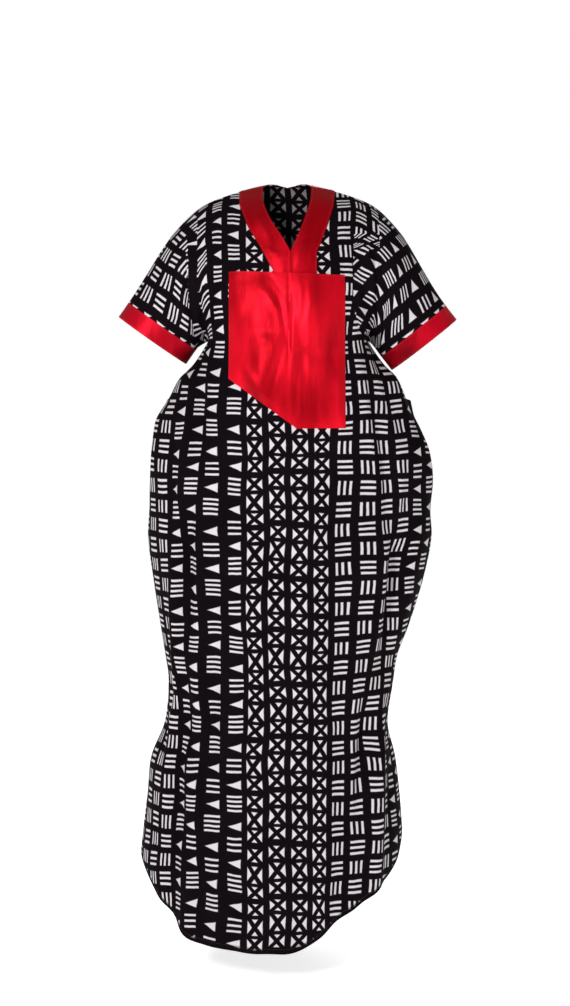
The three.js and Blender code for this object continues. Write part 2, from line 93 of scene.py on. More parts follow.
# Rings below the armpit: height, reach to the wearer's right and left, depth before and behind
RINGS = np.array([
    (-283, 150, 150, 134, 111), (-305, 163, 164, 135, 114),
    (-329, 180, 182, 136, 117), (-353, 204, 204, 137, 120),
    (-389, 223, 220, 138, 124), (-425, 245, 236, 140, 128),
    (-450, 250, 248, 142, 131), (-486, 254, 262, 144, 135),
    (-537, 257, 269, 147, 139), (-600, 260, 266, 150, 143),
    (-649, 262, 268, 152, 145), (-727, 252, 252, 154, 147),
    (-810, 239, 226, 155, 148), (-868, 230, 204, 155, 147),
    (-916, 224, 196, 154, 146), (-993, 231, 186, 153, 146),
    (-1057, 256, 200, 153, 148), (-1124, 263, 208, 154, 151),
    (-1193, 271, 213, 156, 155), (-1240, 275, 212, 157, 157),
    (-1310, 270, 206, 158, 158), (-1390, 262, 200, 158, 158),
])
RING_COLUMN = {"right": 1, "left": 2, "front": 3, "back": 4}
HEM = np.array([
    (-275, -1234), (-252, -1278), (-218, -1335), (-184, -1366), (-124, -1374), (-50, -1377),
    (21, -1374), (91, -1326), (158, -1280), (200, -1240), (213, -1193),
])
HEM_REACH = {"right": 273, "left": 212}
# Side openings, from z to z and how far they part; cuffs, and each sleeve's end: x, y, z, droop
SLIT_TOP, SLIT_END, SLIT_PART = -392, -590, 66
CUFF_WIDTH, CUFF_TALL, CUFF_DEEP = 33, 77, 59
SLEEVE_END = {"right": (-235, 2, -254, 55), "left": (234, 2, -263, 52)}

# Largest folds: from (across, z) to (across, z), half width, height (below nothing a trough)
FOLDS = {
    "front": [
        (-175, -300, -215, -760, 34, -13), (-205, -420, -262, -980, 32, 11),
        (-130, -470, -168, -1300, 38, -10), (-222, -860, -252, -1330, 42, -14),
        (-30, -760, -62, -1400, 46, 7), (165, -300, 212, -640, 34, -13),
        (262, -520, 150, -1080, 36, -14), (110, -470, 92, -1330, 36, -9),
        (196, -700, 176, -1250, 34, 11), (30, -900, 28, -1400, 40, -6),
    ],
    "back": [
        (-120, -250, -190, -900, 40, -12), (-60, -330, -96, -1400, 44, 9),
        (6, -380, -8, -1400, 40, -11), (70, -300, 92, -1380, 42, 10),
        (130, -250, 196, -960, 38, -12), (-150, -760, -232, -1330, 44, 11),
        (150, -820, 168, -1280, 36, -10),
    ],
}
FOLD_FADE = 150

# Creases, seen from the front: start x, z, bend x, z, end x, z, half width, height
CREASES = {
    "front": [
        (-118, -40, -136, -156, -165, -290, 13, -6), (-136, -58, -152, -165, -172, -263, 9, 4.5),
        (-167, -79, -152, -138, -156, -195, 7, -3.5), (-185, -156, -183, -204, -169, -274, 8, -4.5),
        (-197, -120, -201, -201, -179, -278, 8, 4), (-229, -120, -220, -210, -194, -281, 9, -3),
        (-253, -156, -238, -210, -215, -272, 9, 2.5), (-158, -290, -165, -389, -152, -532, 11, -6),
        (-147, -299, -136, -442, -127, -621, 11, 4.5), (-179, -339, -186, -442, -176, -603, 11, 4),
        (-219, -425, -208, -568, -181, -765, 13, -6), (-197, -389, -176, -532, -163, -693, 11, 5),
        (-233, -514, -229, -675, -201, -854, 11, 4), (-226, -1000, -206, -1150, -150, -1310, 13, -5),
        (-208, -952, -165, -1105, -133, -1292, 13, 6), (-149, -908, -118, -1105, -104, -1337, 11, -5.5),
        (-229, -854, -208, -961, -149, -1087, 13, -5), (-183, -818, -176, -926, -131, -1051, 11, 4),
        (-76, -430, -84, -860, -79, -1337, 11, -5), (-101, -478, -111, -675, -101, -890, 11, -3.5),
        (111, -58, 139, -156, 150, -254, 11, -6), (130, -76, 162, -165, 171, -272, 9, 4.5),
        (150, -99, 184, -183, 195, -263, 8, -4.5), (186, -120, 209, -192, 214, -249, 9, 3.5),
        (222, -142, 236, -192, 236, -242, 8, -3), (121, -102, 118, -192, 132, -272, 7, -3.5),
        (150, -267, 179, -353, 207, -460, 11, -6.5), (125, -281, 146, -425, 179, -603, 11, 5),
        (175, -290, 204, -371, 232, -460, 9, 4), (250, -514, 218, -675, 171, -908, 14, -7),
        (214, -478, 196, -603, 146, -818, 13, 5), (243, -603, 225, -729, 196, -854, 11, 4),
        (102, -747, 116, -1015, 100, -1337, 13, -2.5), (150, -908, 179, -1087, 164, -1257, 13, 5.5),
        (195, -997, 188, -1122, 171, -1230, 11, -4.5), (132, -675, 139, -854, 128, -1033, 11, -4),
        (196, -854, 175, -979, 143, -1105, 11, 4.5), (21, -460, 18, -836, 26, -1337, 21, 3),
        (-33, -460, -25, -747, -47, -1140, 16, -3), (77, -460, 68, -747, 86, -1140, 14, -3.5),
        (-9, -926, -15, -1105, -8, -1337, 13, 2.5), (53, -818, 46, -1069, 53, -1319, 13, -2.5),
        (-101, -58, -92, -111, -104, -156, 7, -2.5), (102, -102, 98, -142, 105, -183, 7, -2.5),
        (-113, -192, -120, -263, -115, -339, 8, -3), (114, -210, 109, -290, 116, -389, 8, -3),
        (-83, -403, -68, -433, -47, -460, 8, -2),
    ],
    "back": [
        (-124, -40, -140, -160, -160, -290, 13, -6), (-142, -60, -158, -160, -170, -262, 9, 4.5),
        (-190, -110, -196, -190, -178, -276, 9, -4), (-222, -140, -216, -200, -196, -268, 9, 3),
        (118, -50, 142, -156, 154, -262, 11, -6), (138, -70, 160, -165, 170, -272, 9, 4.5),
        (186, -104, 200, -190, 186, -268, 9, -4), (220, -140, 226, -200, 210, -262, 9, 3),
        (-84, -30, -96, -160, -88, -360, 12, -3.5), (-40, -20, -46, -150, -34, -300, 11, 3),
        (44, -20, 40, -170, 52, -330, 12, -3), (92, -40, 100, -190, 86, -420, 11, 3.5),
        (-160, -290, -176, -420, -168, -620, 11, -6), (-192, -360, -188, -480, -172, -640, 11, 4),
        (156, -280, 182, -410, 200, -520, 11, -6), (140, -300, 158, -470, 170, -660, 11, 4.5),
        (-226, -520, -216, -690, -186, -850, 12, -5), (236, -560, 214, -720, 182, -900, 13, -6),
        (-120, -640, -132, -900, -118, -1240, 13, 5), (-72, -720, -60, -980, -70, -1330, 12, -4.5),
        (38, -640, 30, -900, 44, -1340, 13, 4), (112, -760, 122, -1010, 110, -1300, 12, -5),
        (-212, -920, -190, -1090, -166, -1300, 13, -6), (168, -960, 176, -1090, 158, -1240, 12, 5),
    ],
}
# Cloth hidden in a trough, as a share of its depth, how many half widths it is eased over, and how soon
TUCK, TUCK_REACH, TUCK_TURN = 0.5, 5.0, 1.6
# Cloth gathered over the shoulder, and the print eased wider below it:
# from x, to x, how much, and from which z over what height it comes in
GATHER = (104, 160, 13, -300, 60)
EASE = (70, 170, -9, -330, -300)
# Where the sleeve's grain meets the body's, as z and x down each half, and how far it leans there
GRAIN_BREAK = {
    "right": ((-280, -172), (-200, -184), (-100, -186)),
    "left": ((-280, 134), (-200, 119), (-100, 121)),
}
GRAIN_LEAN = {"right": 0.0, "left": math.radians(36)}
# How far above the armpit the line ends, in rows, and where it starts under the shoulder
GRAIN_ARMPIT = 0.7
GRAIN_TOP, GRAIN_FADE = -85, 30
# Ridges in the satin panel and bands, in the same columns
SATIN_RIDGES = [
    (43, -150, 46, -220, 55, -315, 27, 8.5), (-38, -262, -42, -335, -56, -405, 28, 9.5),
    (-76, -170, -66, -225, -50, -290, 30, 3.6), (9, -238, 7, -320, 5, -408, 5.5, 3.0),
    (34, -250, 37, -335, 42, -425, 8.0, 3.0), (22, -330, 20, -375, 26, -430, 7.0, 2.2),
    (58, -300, 66, -360, 60, -428, 11.0, 3.0), (84, -330, 88, -380, 82, -428, 14.0, 2.4),
    (-20, -200, -4, -245, -4, -292, 5.5, -2.8), (-8, -270, -16, -335, -40, -385, 7.0, -2.4),
    (-46, -184, -30, -212, -14, -236, 7.0, 2.4), (-72, -292, -48, -280, -24, -284, 7.0, 1.7),
    (-84, -318, -66, -350, -40, -402, 9.0, 2.0), (-92, -205, -86, -262, -90, -325, 13.0, 1.6),
    (78, -176, 81, -225, 76, -285, 8.0, 1.6), (18, -158, 24, -205, 18, -248, 7.0, 2.2),
    (35, -166, 40, -215, 30, -262, 6.0, 1.8), (3, -150, 3, -230, 2, -330, 3.2, -2.6),
    (53, -150, 53, -200, 51, -248, 3.5, -1.8),
]
BAND_RIDGES = [
    (-36, -118, -21, -125, -3, -129, 4.5, 2.6), (-31, -134, -17, -136, -3, -142, 4.0, 2.2),
    (-26, -148, -14, -150, -3, -152, 3.6, 1.6), (-62, -32, -50, -76, -34, -110, 8.0, 2.4),
    (-48, -58, -40, -84, -27, -108, 5.0, 1.6), (46, -38, 34, -82, 16, -126, 7.0, 2.4),
    (62, -60, 50, -100, 40, -140, 7.0, 1.8), (22, -112, 18, -132, 16, -152, 6.0, 2.0),
]

# How the kinks at the sleeve's fold and at the armpit's height are rounded: steps each way, and rounds
FOLD_ROUNDING, WAIST_ROUNDING = (9, 30), (9, 24)
# Over how many rows or columns the roundings, folds and creases fade out toward a seam
ARMPIT_FADE, WAIST_FADE, FOLD_FADE_IN, CREASE_FADE_IN, ARM_FADE_IN = 3, 2, 2, 1.5, 1.2
CUFF_CREASE = 0.3  # share of a crease that is left at the cuff's seam
# The way the sleeve leaves the body, out, to its face and up, and how long each end keeps its way
SLEEVE_WAY = (0.86, 0.5, -0.46)
SLEEVE_START, SLEEVE_FINISH = 0.27, 0.33
SLEEVE_CUT_END = 413.0  # from the centre line in the flat cut

# Neckbands and chest panel: widths, the rows and lines that end them, and where their ridges fade
BAND_WIDTH, BAND_FADE = 45, 10
TAIL_LENGTH = 110
PLACKET_EDGE, PLACKET_LAST_ROW = 52, 8
V_POINT_ROW = 4
BACK_NECK_ROWS = (0.5, 1, 1.4, 1.7, 1.9, 2)
PANEL_FIRST_ROW, PANEL_LAST_ROW = 5, 14
PANEL_CUT = ((-108, -351), (15, -440))
PANEL_TILT = 0.05
PANEL_LIFT, PANEL_FADE = 2.2, 12

# Pocket bags, ring by ring: distance in from the mouth, half height, half thickness, sag
POCKET_RINGS = np.array([
    (26, 104, 27, 8), (60, 112, 20, 22), (96, 112, 15, 34), (124, 100, 12, 40), (140, 74, 8, 44),
])

# Topstitching: half a thread, its length and spacing, and how far in from an edge it lies
THREAD = 0.38
STITCH, STITCH_PITCH, STITCH_INSET = 2.6, 3.6, 3.0
# How deep its ends go in, how high it rises in threads, and between which shares of it it's full
STITCH_SUNK, STITCH_RISE, STITCH_FULL = 0.1, 0.6, (0.22, 0.78)

# The print, in millimetres: column pitch, how soft its edges are, how far columns lie off even
PITCH, SOFT = 40.3, 1.3
# Its columns, how many of boxes lie right of the centre line, and after which the first two kinds end
PRINT_COLUMNS, PRINT_FROM, LAST_BOX, LAST_BASKET = 12, 2.0, 3.5, 7.5
BASKET_SHIFT, TRIANGLE_SHIFT = 3.0, 2.0
# Where twelve columns start down the cloth: four of boxes, four of baskets, four of triangles
COLUMN_STARTS = [475.9, 467.7, 469.8, 442.4, 511.5, 475.5, 511.5, 475.5, 589.3, 547.3, 583.4, 544.0]
START_SCALE = 1000.0
# Boxes, one large and two small: period, ends, centres, half sizes, and the cross's slope and half gap
X_PERIOD, X_ENDS, X_CENTRES = 95.0, (32.2, 63.0), (16.1, 46.9, 78.9)
X_WIDE, X_BIG, X_SMALL, X_SLOPE, X_GAP = 13.9, 14.0, 10.3, 1.32, 0.5
# Baskets, three bars lying and three standing: centre, half width and height, and the bars' pitch
BASKET_PERIOD, BASKET_BAR = 72.0, 2.1
LYING, STANDING = (18.0, 13.2, 12.7, 10.2), (54.0, 12.9, 11.5, 10.4)
# Groups of four and three bars, in the same order, and the triangles between them
TRIANGLE_PERIOD, TRIANGLE_BAR = 142.5, 1.8
FOUR, THREE = (34.8, 12.0, 15.3, 8.7), (109.5, 12.0, 12.5, 10.3)
SECOND_TRIANGLE, TRIANGLE_HALF, TRIANGLE_SLOPE, TRIANGLE_OVER = 76.6, 10.8, 0.37, 10.0
# Unevenness of the printing: how fine, and how large
WOBBLES = ((0.07, 1.3), (0.009, 14.0))
# The cotton's grain and clouding, and the satin's broad and fine streaks, which paint its sheen and
# shade into its colour and also bump it: scale and detail
GRAIN, CLOUD, BROAD, STREAK = (0.9, 3.0), (0.012, 3.0), (16.0, 1.5), (34.0, 3.0)
# How strong and how deep each cloth's bump is, and the weave's closeness
COTTON_BUMP, SATIN_BUMP, WEAVE = (0.12, 0.0004), (0.6, 0.011), 5.2
WRONG_SIDE = 0.42  # share of the print's light that shows through inside
# The satin's painted sheen: its middle tone, how far its painted lights and shades go from it, and how
# soon the painted shade that changes with height comes in
SHEEN_MIDDLE, SHEEN_CONTRAST, SATIN_SHADE_TURN = 0.55, 2.6, 12.0

# Camera and studio; a light is its name, place, power and size
CAMERA_DISTANCE, CAMERA_HEIGHT, MIDDLE_X = 3.412, -0.30, -0.006
LENS, SHIFT_DOWN = 65.3, -0.1515
FLOOR_PLACE, FLOOR_SIZE, FLOOR_GLOW = (0, 4, -1.44), 24, 0.72
AROUND, LIGHT_AIM = 0.3, (0, 0, -0.6)
LIGHTS = (
    ("key", (-1.3, -3.0, 0.8), 76, 0.7),
    ("fill", (1.7, -2.4, -0.4), 8, 1.2),
    ("back", (0.5, 2.6, 0.6), 22, 1.2),
)

SIGN = {"right": -1, "left": 1, "front": -1, "back": 1}
HALVES, FACES = ("right", "left"), ("front", "back")
QUARTER = math.pi / 2
FAR = 1e9
SNAP = 0.3  # nearer than this to a cut, a point lies on it
# Shares of the way along a crease, and how many half widths away it still counts
CURVE = np.linspace(0, 1, 28)
CREASE_REACH = 3


def lerp(a, b, t):
    return a + (b - a) * t


def is_turned(face, half):
    """Whether a grid's corners run the other way round, so that its cells still face out."""
    return (SIGN[face] > 0) != (SIGN[half] > 0)


def read(keys, values, at):
    """Smooth values read from a table, between its rows."""
    keys, values = np.asarray(keys, float), np.asarray(values, float)
    if keys[0] > keys[-1]:
        keys, at = -keys, -np.asarray(at)
    at = np.asarray(at, float)
    i = np.clip(np.searchsorted(keys, at, "right") - 1, 0, len(keys) - 2)
    order = np.arange(len(keys))
    before, after = np.maximum(order - 1, 0), np.minimum(order + 1, len(keys) - 1)
    spread = (slice(None),) + (None,) * (values.ndim - 1)
    slopes = (values[after] - values[before]) / (keys[after] - keys[before])[spread]
    span = keys[i + 1] - keys[i]
    t = np.clip((at - keys[i]) / span, 0, 1)
    t, span = (x.reshape(at.shape + (1,) * (values.ndim - 1)) for x in (t, span))
    return (
        values[i] * (2 * t**3 - 3 * t**2 + 1)
        + slopes[i] * span * (t**3 - 2 * t**2 + t)
        + values[i + 1] * (3 * t**2 - 2 * t**3)
        + slopes[i + 1] * span * (t**3 - t**2)
    )


def slit_part(z):
    """Half the width of a side opening at a height."""
    t = np.clip((SLIT_TOP - z) / (SLIT_TOP - SLIT_END), 0, 1)
    return 0.5 * SLIT_PART * np.sin(math.pi * t) ** 0.8 * ((t > 0) & (t < 1))


def column_angle(face, half, column, reach, end_angle):
    """Place of a column on a ring, as its angle round from the middle."""
    inner = COLUMNS[face, half]
    place = read(range(len(inner)), inner, column - SIDE_COLUMNS)
    inside = SIGN[half] * np.arcsin(np.clip(place / reach, -1, 1))
    panel = np.arcsin(abs(inner[0]) / reach)
    return np.where(
        column >= SIDE_COLUMNS, inside, lerp(end_angle, panel, column / SIDE_COLUMNS)
    )


def yoke(face, half, column, row):
    """Points of the yoke, and the distance round from the middle."""
    fold_x, fold_y, fold_z, mid_y, mid_z, full = np.moveaxis(
        read(range(YOKE_ROWS + 1), YOKE[face], row), -1, 0
    )
    middle = COLUMNS[face, half][-1]
    edges = NECK_EDGE[face, half]
    last = len(edges) - 1
    if face == "back":
        edge = edges[0] * np.sqrt(1 - np.clip(row / last, 0, 1))
    else:
        edge = np.where(row < last, read(range(last + 1), edges, row), middle)
    side = SIGN[half] * fold_x
    settled = side * np.sin(column_angle(face, half, column, fold_x, QUARTER))
    share = lerp(
        column / ALL_COLUMNS,
        (settled - side) / (middle - side),
        np.minimum(1, row / EVEN_ROWS),
    )
    x = side + share * (edge - side)
    outward = np.minimum(1, (x / fold_x) ** 2)
    tilt = np.where(row < EVEN_ROWS, row / EVEN_ROWS, 1 - (row - EVEN_ROWS) / (2 * YOKE_ROWS))
    y = fold_y + (mid_y - fold_y) * (1 - outward) ** (1 / full)
    z = lerp(mid_z, fold_z, outward)
    if face == "front":
        z = z - PANEL_TILT * tilt * x * (1 - outward)
    across = fold_x * np.arcsin(np.clip(x / fold_x, -1, 1))
    return np.stack([x, y, z], -1), across


def ring(which, z):
    return read(RINGS[:, 0], RINGS[:, RING_COLUMN[which]], z)


def skirt(face, half, column, row):
    """Points below the armpit, and the distance round from the middle."""
    top = yoke(face, half, column, np.full_like(row, YOKE_ROWS))[0][..., 2]
    hem_reach = HEM_REACH[half]
    hem_angle = column_angle(face, half, column, np.full_like(row, hem_reach), QUARTER)
    hem = read(HEM[:, 0], HEM[:, 1], SIGN[half] * hem_reach * np.sin(hem_angle))
    z = lerp(top, hem, (row - YOKE_ROWS) / SKIRT_ROWS)
    reach = np.where(column == ALL_COLUMNS, ring("right", z), ring(half, z))
    depth = ring(face, z)
    end_angle = QUARTER - np.arcsin(slit_part(z) / depth)
    angle = column_angle(face, half, column, reach, end_angle)
    widen = lerp(1 / np.sin(end_angle), 1, np.clip(column / SIDE_COLUMNS, 0, 1))
    x = SIGN[half] * reach * np.sin(angle) * widen
    y = SEAM_Y + SIGN[face] * depth * np.cos(angle)
    return np.stack([x, y, z], -1), SIGN[half] * reach * angle


def cuff(face, half, row, out):
    """Points round the sleeve's end, a distance out along the arm past the cuff's seam."""
    x, y, z, droop = SLEEVE_END[half]
    lean = math.radians(droop)
    turn = math.pi * row / YOKE_ROWS
    up = CUFF_TALL * np.cos(turn)
    x = x + SIGN[half] * (up * math.sin(lean) + out * math.cos(lean))
    y = y + SIGN[face] * CUFF_DEEP * np.sin(turn)
    return np.stack([x, y, z + up * math.cos(lean) - out * math.sin(lean)], -1)


def unit(vectors):
    return vectors / np.maximum(np.linalg.norm(vectors, axis=-1, keepdims=True), 1e-9)


def sleeve(face, half, t, row):
    """Points of the sleeve: t is 0 at the fold beside the body and 1 at the cuff's seam."""
    start = yoke(face, half, np.zeros_like(row), row)[0]
    end = cuff(face, half, row, 0.0)
    length = np.linalg.norm(end - start, axis=-1, keepdims=True)
    out, bulge, up = SLEEVE_WAY
    y = SIGN[face] * bulge * np.sin(math.pi * row / YOKE_ROWS)
    leave = unit(np.stack([np.full_like(row, SIGN[half] * out), y, np.full_like(row, up)], -1))
    arrive = unit(end - cuff(face, half, row, CUFF_WIDTH))
    near, far = start + leave * SLEEVE_START * length, end + arrive * SLEEVE_FINISH * length
    t = t[..., None]
    return (
        start * (1 - t) ** 3
        + near * 3 * t * (1 - t) ** 2
        + far * 3 * t**2 * (1 - t)
        + end * t**3
    )


def fold_height(face, across, z):
    """The sum of the largest folds, which fade over their ends."""
    height = np.zeros_like(z)
    for a0, z0, a1, z1, wide, high in FOLDS[face]:
        fade = np.clip((z0 - z) / FOLD_FADE, 0, 1) * np.clip((z - z1) / FOLD_FADE + 1, 0, 1)
        off = np.clip(np.abs(across - lerp(a0, a1, (z0 - z) / (z0 - z1))) / wide, 0, 1)
        height += high * fade * (0.5 + 0.5 * np.cos(math.pi * off))
    return height


def bent(start, bend, end, t):
    """Places on a bent line, at shares of the way along it."""
    t = t[..., None]
    a, b, c = (np.array(p, float) for p in (start, bend, end))
    return a * (1 - t) ** 2 + 2 * b * t * (1 - t) + c * t**2


def nearest(points, line):
    """How far points are from a line of points, and how far along it they lie, from 0 to 1."""
    best, place = np.full(points.shape[:-1], FAR), np.zeros(points.shape[:-1])
    for i, (a, b) in enumerate(zip(line[:-1], line[1:])):
        step = b - a
        t = np.clip((points - a) @ step / (step @ step), 0, 1)
        away = np.linalg.norm(points - a - t[..., None] * step, axis=-1)
        closer = away < best
        best = np.where(closer, away, best)
        place = np.where(closer, (i + t) / (len(line) - 1), place)
    return best, place


def faded(place, end, power):
    """1 in the middle of a crease and less toward both ends."""
    return np.sin(math.pi * np.clip(place, end, 1 - end)) ** power


def crease_height(table, x, z):
    """The sum of a table's creases, each a soft ridge or trough that fades at both ends."""
    height, at = np.zeros_like(x), np.stack([x, z], -1)
    for x0, z0, x1, z1, x2, z2, wide, high in table:
        line = (x0, z0), (x1, z1), (x2, z2)
        reach = CREASE_REACH * wide
        near = ((at > np.min(line, 0) - reach) & (at < np.max(line, 0) + reach)).all(-1)
        if near.any():
            away, place = nearest(at[near], bent(*line, CURVE))
            height[near] += high * faded(place, 0.02, 0.7) * np.exp(-((away / wide) ** 2))
    return height


def hidden_cloth(face, x, z):
    """How far the cut moves sideways over the troughs, which take up cloth, and where it is eased."""
    moved, at = np.zeros_like(x), np.stack([x, z], -1)
    for x0, z0, x1, z1, x2, z2, wide, high in CREASES[face]:
        if high < 0:
            line = (x0, z0), (x1, z1), (x2, z2)
            place = nearest(at, bent(*line, CURVE))[1]
            side = (x - bent(*line, place)[..., 0]) / wide
            near = np.exp(-((side / TUCK_REACH) ** 2))
            tuck = TUCK * -high * faded(place, 0.001, 0.8)
            moved += tuck * np.tanh(TUCK_TURN * side) * near
    for inner, outer, most, from_z, over in (GATHER, EASE):
        share = np.clip((np.abs(x) - inner) / (outer - inner), 0, 1)
        where = np.clip((z - from_z) / over, 0, 1)
        moved += np.sign(x) * most * where * share**2 * (3 - 2 * share)
    return moved


def carried(half, points, start, cut, lean):
    """The flat cut carried on sideways past a column of points, with the grain leaning."""
    move = points - start[:, None]
    out = np.hypot(move[..., 0], move[..., 1]) * np.sign(SIGN[half] * move[..., 0])
    down = -move[..., 2]
    along = out * math.cos(lean) + down * math.sin(lean)
    below = down * math.cos(lean) - out * math.sin(lean)
    return cut[:, None] + np.stack([SIGN[half] * along, below], -1)


def broken_grain(half, flip, points, cut, other):
    """The flat cut by cell, with the other one past the line where the grain changes."""
    z, x = np.array(GRAIN_BREAK[half], float).T
    past = np.abs(np.interp(points[..., 2], z, x)) - np.abs(points[..., 0])
    if GRAIN_LEAN[half]:
        past = -past
    past[math.ceil((YOKE_ROWS - GRAIN_ARMPIT) * FINE) :] = -1
    blend = np.clip((GRAIN_TOP - points[..., 2]) / GRAIN_FADE, 0, 1)
    other = lerp(cut, other, blend[..., None])
    taken = corners_of(past, flip).mean(-1) > 0
    return np.where(taken[..., None, None], corners_of(other, flip), corners_of(cut, flip))


def raised(points, lift, flip):
    """A grid of points moved out along its own surface's normals."""
    down, along = np.gradient(points, axis=(0, 1))
    out = unit(np.cross(down, along)) * (-1 if flip else 1)
    return points + out * lift[..., None]


class Cloth:
    """One sheet round the body: welded points, cells, and each cell's place in the flat cut."""

    def __init__(self):
        self.parts = []

    def add(self, points, cut, lift, flip, **marks):
        self.parts.append((points, cut, lift, flip, marks))

    def weld(self):
        every = np.concatenate([part[0].reshape(-1, 3) for part in self.parts])
        lift = np.concatenate([part[2].ravel() for part in self.parts])
        keys = np.round(every * SAME_POINT).astype(np.int64)
        _, first, ids = np.unique(keys, axis=0, return_index=True, return_inverse=True)
        ids = ids.ravel()
        self.points = every[first]
        self.lift = np.bincount(ids, lift) / np.bincount(ids)
        cells, cuts, marks, start = [], [], [], 0
        for points, cut, _, flip, mark in self.parts:
            rows, columns = points.shape[:2]
            grid = ids[start : start + rows * columns].reshape(rows, columns)
            start += rows * columns
            cells.append(corners_of(grid, flip).reshape(-1, 4))
            cuts.append(cut.reshape(-1, 4, 2))
            row, column = np.indices((rows - 1, columns - 1)).reshape(2, -1)
            marks.append(dict(mark, row=row, column=column))
        self.cells, self.cuts = np.concatenate(cells), np.concatenate(cuts)
        for key in ("piece", "half", "part", "row", "column"):
            each = [np.broadcast_to(m[key], len(m["row"])) for m in marks]
            setattr(self, key, np.concatenate(each))
        self.settle()
        self.points = self.points + self.normals * self.lift[:, None]
        self.settle()
        self.heap = np.zeros(len(self.points))
        self.hem = np.zeros(len(self.points))
        for back, dark in ((2, 0.0), (1, 1.0)):
            which = (self.part == "body") & (self.row >= LAST - back)
            self.hem[np.unique(self.cells[which])] = dark

    def settle(self):
        self.normals = point_normals(self.points, self.cells)

    def body(self, face, half):
        """Which cells are of one face's body on one half."""
        return (self.piece == face) & (self.half == half) & (self.part == "body")


def corners_of(grid, flip):
    """What a grid holds at the four corners of each of its cells."""
    four = np.stack([grid[:-1, :-1], grid[1:, :-1], grid[1:, 1:], grid[:-1, 1:]], axis=2)
    return four[:, :, ::-1] if flip else four


def point_normals(points, cells):
    """Normals of cells with three or four corners, shared at the points."""
    first, second, third, last = (points[cells[:, i]] for i in (0, 1, 2, -1))
    flat = np.cross(third - first, last - second)
    normals = np.zeros_like(points)
    for corner in cells.T:
        np.add.at(normals, corner, flat)
    return unit(normals)


def lengths(points, axis):
    return np.linalg.norm(np.diff(points, axis=axis), axis=-1)


def run_along(points, axis):
    """The length from the start of a grid to each of its points, along one axis."""
    return np.insert(np.cumsum(lengths(points, axis), axis), 0, 0, axis)


def softened(line, at, spread, rounds, weight):
    """Rows of points with the kink at one column rounded off."""
    line = line.copy()
    low, high = at - spread, at + spread + 1
    for _ in range(rounds):
        moved = (
            line[:, low - 1 : high - 1] + 2 * line[:, low:high] + line[:, low + 1 : high + 1]
        ) / 4
        line[:, low:high] += (moved - line[:, low:high]) * weight[:, None, None]
    return line


def weave_garment():
    """The whole sheet: body, sleeves and cuffs, with its folds, creases and flat cut."""
    cloth = Cloth()
    steps = np.arange(ALL_COLUMNS * FINE + 1) / FINE
    rows = np.arange(LAST + 1) / FINE
    row, column = np.meshgrid(rows, steps, indexing="ij")
    yoke_rows = rows[: ARMPIT + 1]
    out = CUFF_WIDTH * (1 - np.arange(CUFF_STEPS + 1) / CUFF_STEPS)
    t = 1 - np.arange(SLEEVE_STEPS + 1) / SLEEVE_STEPS
    for face in FACES:
        for half in HALVES:
            flip = is_turned(face, half)
            low, low_across = skirt(face, half, column[ARMPIT + 1 :], row[ARMPIT + 1 :])
            top, across = yoke(face, half, column[: ARMPIT + 1], row[: ARMPIT + 1])
            across = np.concatenate([across, low_across])
            end = cuff(face, half, *np.meshgrid(yoke_rows, out, indexing="ij"))
            arm_row, arm_t = np.meshgrid(yoke_rows, t, indexing="ij")
            arm = sleeve(face, half, arm_t, arm_row)
            line = np.concatenate([end, arm[:, 1:-1], top], axis=1)
            fold_at = CUFF_STEPS + SLEEVE_STEPS
            weight = np.clip((YOKE_ROWS - yoke_rows) / ARMPIT_FADE, 0, 1)
            line = softened(line, fold_at, *FOLD_ROUNDING, weight)
            end, arm = line[:, : CUFF_STEPS + 1], line[:, CUFF_STEPS : fold_at + 1]
            body = np.concatenate([line[:, fold_at:], low]).transpose(1, 0, 2)
            weight = np.clip(steps / WAIST_FADE - 1, 0, 1)
            body = softened(body, ARMPIT, *WAIST_ROUNDING, weight).transpose(1, 0, 2)
            top = body[: ARMPIT + 1]

            x, z = body[..., 0], body[..., 2]
            lift = np.clip(column / FOLD_FADE_IN, 0, 1) * fold_height(face, across, z)
            lift += np.clip(column / CREASE_FADE_IN, 0, 1) * crease_height(CREASES[face], x, z)
            from_seam = np.clip(np.minimum(arm_row, YOKE_ROWS - arm_row) / ARM_FADE_IN, 0, 1)
            arm_lift = from_seam * crease_height(CREASES[face], arm[..., 0], arm[..., 2])
            arm_lift[:, :2] *= CUFF_CREASE
            arm_lift[:, -1] += lift[: ARMPIT + 1, 0]
            lift[: ARMPIT + 1, 0] = arm_lift[:, -1]
            end_lift = np.zeros(end.shape[:2])
            end_lift[:, -1] = arm_lift[:, 0]

            lifted = raised(body, lift, flip), raised(arm, arm_lift, flip)
            body_cut, arm_cut, end_cut = flat_cut(half, *lifted, end)
            body_cut[..., 0] += hidden_cloth(face, x, z)
            arm_cut[..., 1] += hidden_cloth(face, arm[..., 0], arm[..., 2])
            body_cells, arm_cells = corners_of(body_cut, flip), corners_of(arm_cut, flip)
            top_cut, lean = body_cut[: ARMPIT + 1], GRAIN_LEAN[half]
            if lean:
                other = carried(half, top, top[:, 0], arm_cut[:, -1], lean)
                body_cells[:ARMPIT] = broken_grain(half, flip, top, top_cut, other)
            else:
                other = carried(half, arm, arm[:, -1], top_cut[:, 0], lean)
                arm_cells = broken_grain(half, flip, arm, arm_cut, other)
            cloth.add(body, body_cells, lift, flip, piece=face, half=half, part="body")
            cloth.add(arm, arm_cells, arm_lift, flip, piece=face, half=half, part="arm")
            end_cells, name = corners_of(end_cut, flip), f"cuff_{half}"
            cloth.add(end, end_cells, end_lift, flip, piece=name, half=half, part="cuff")
    cloth.weld()
    return cloth


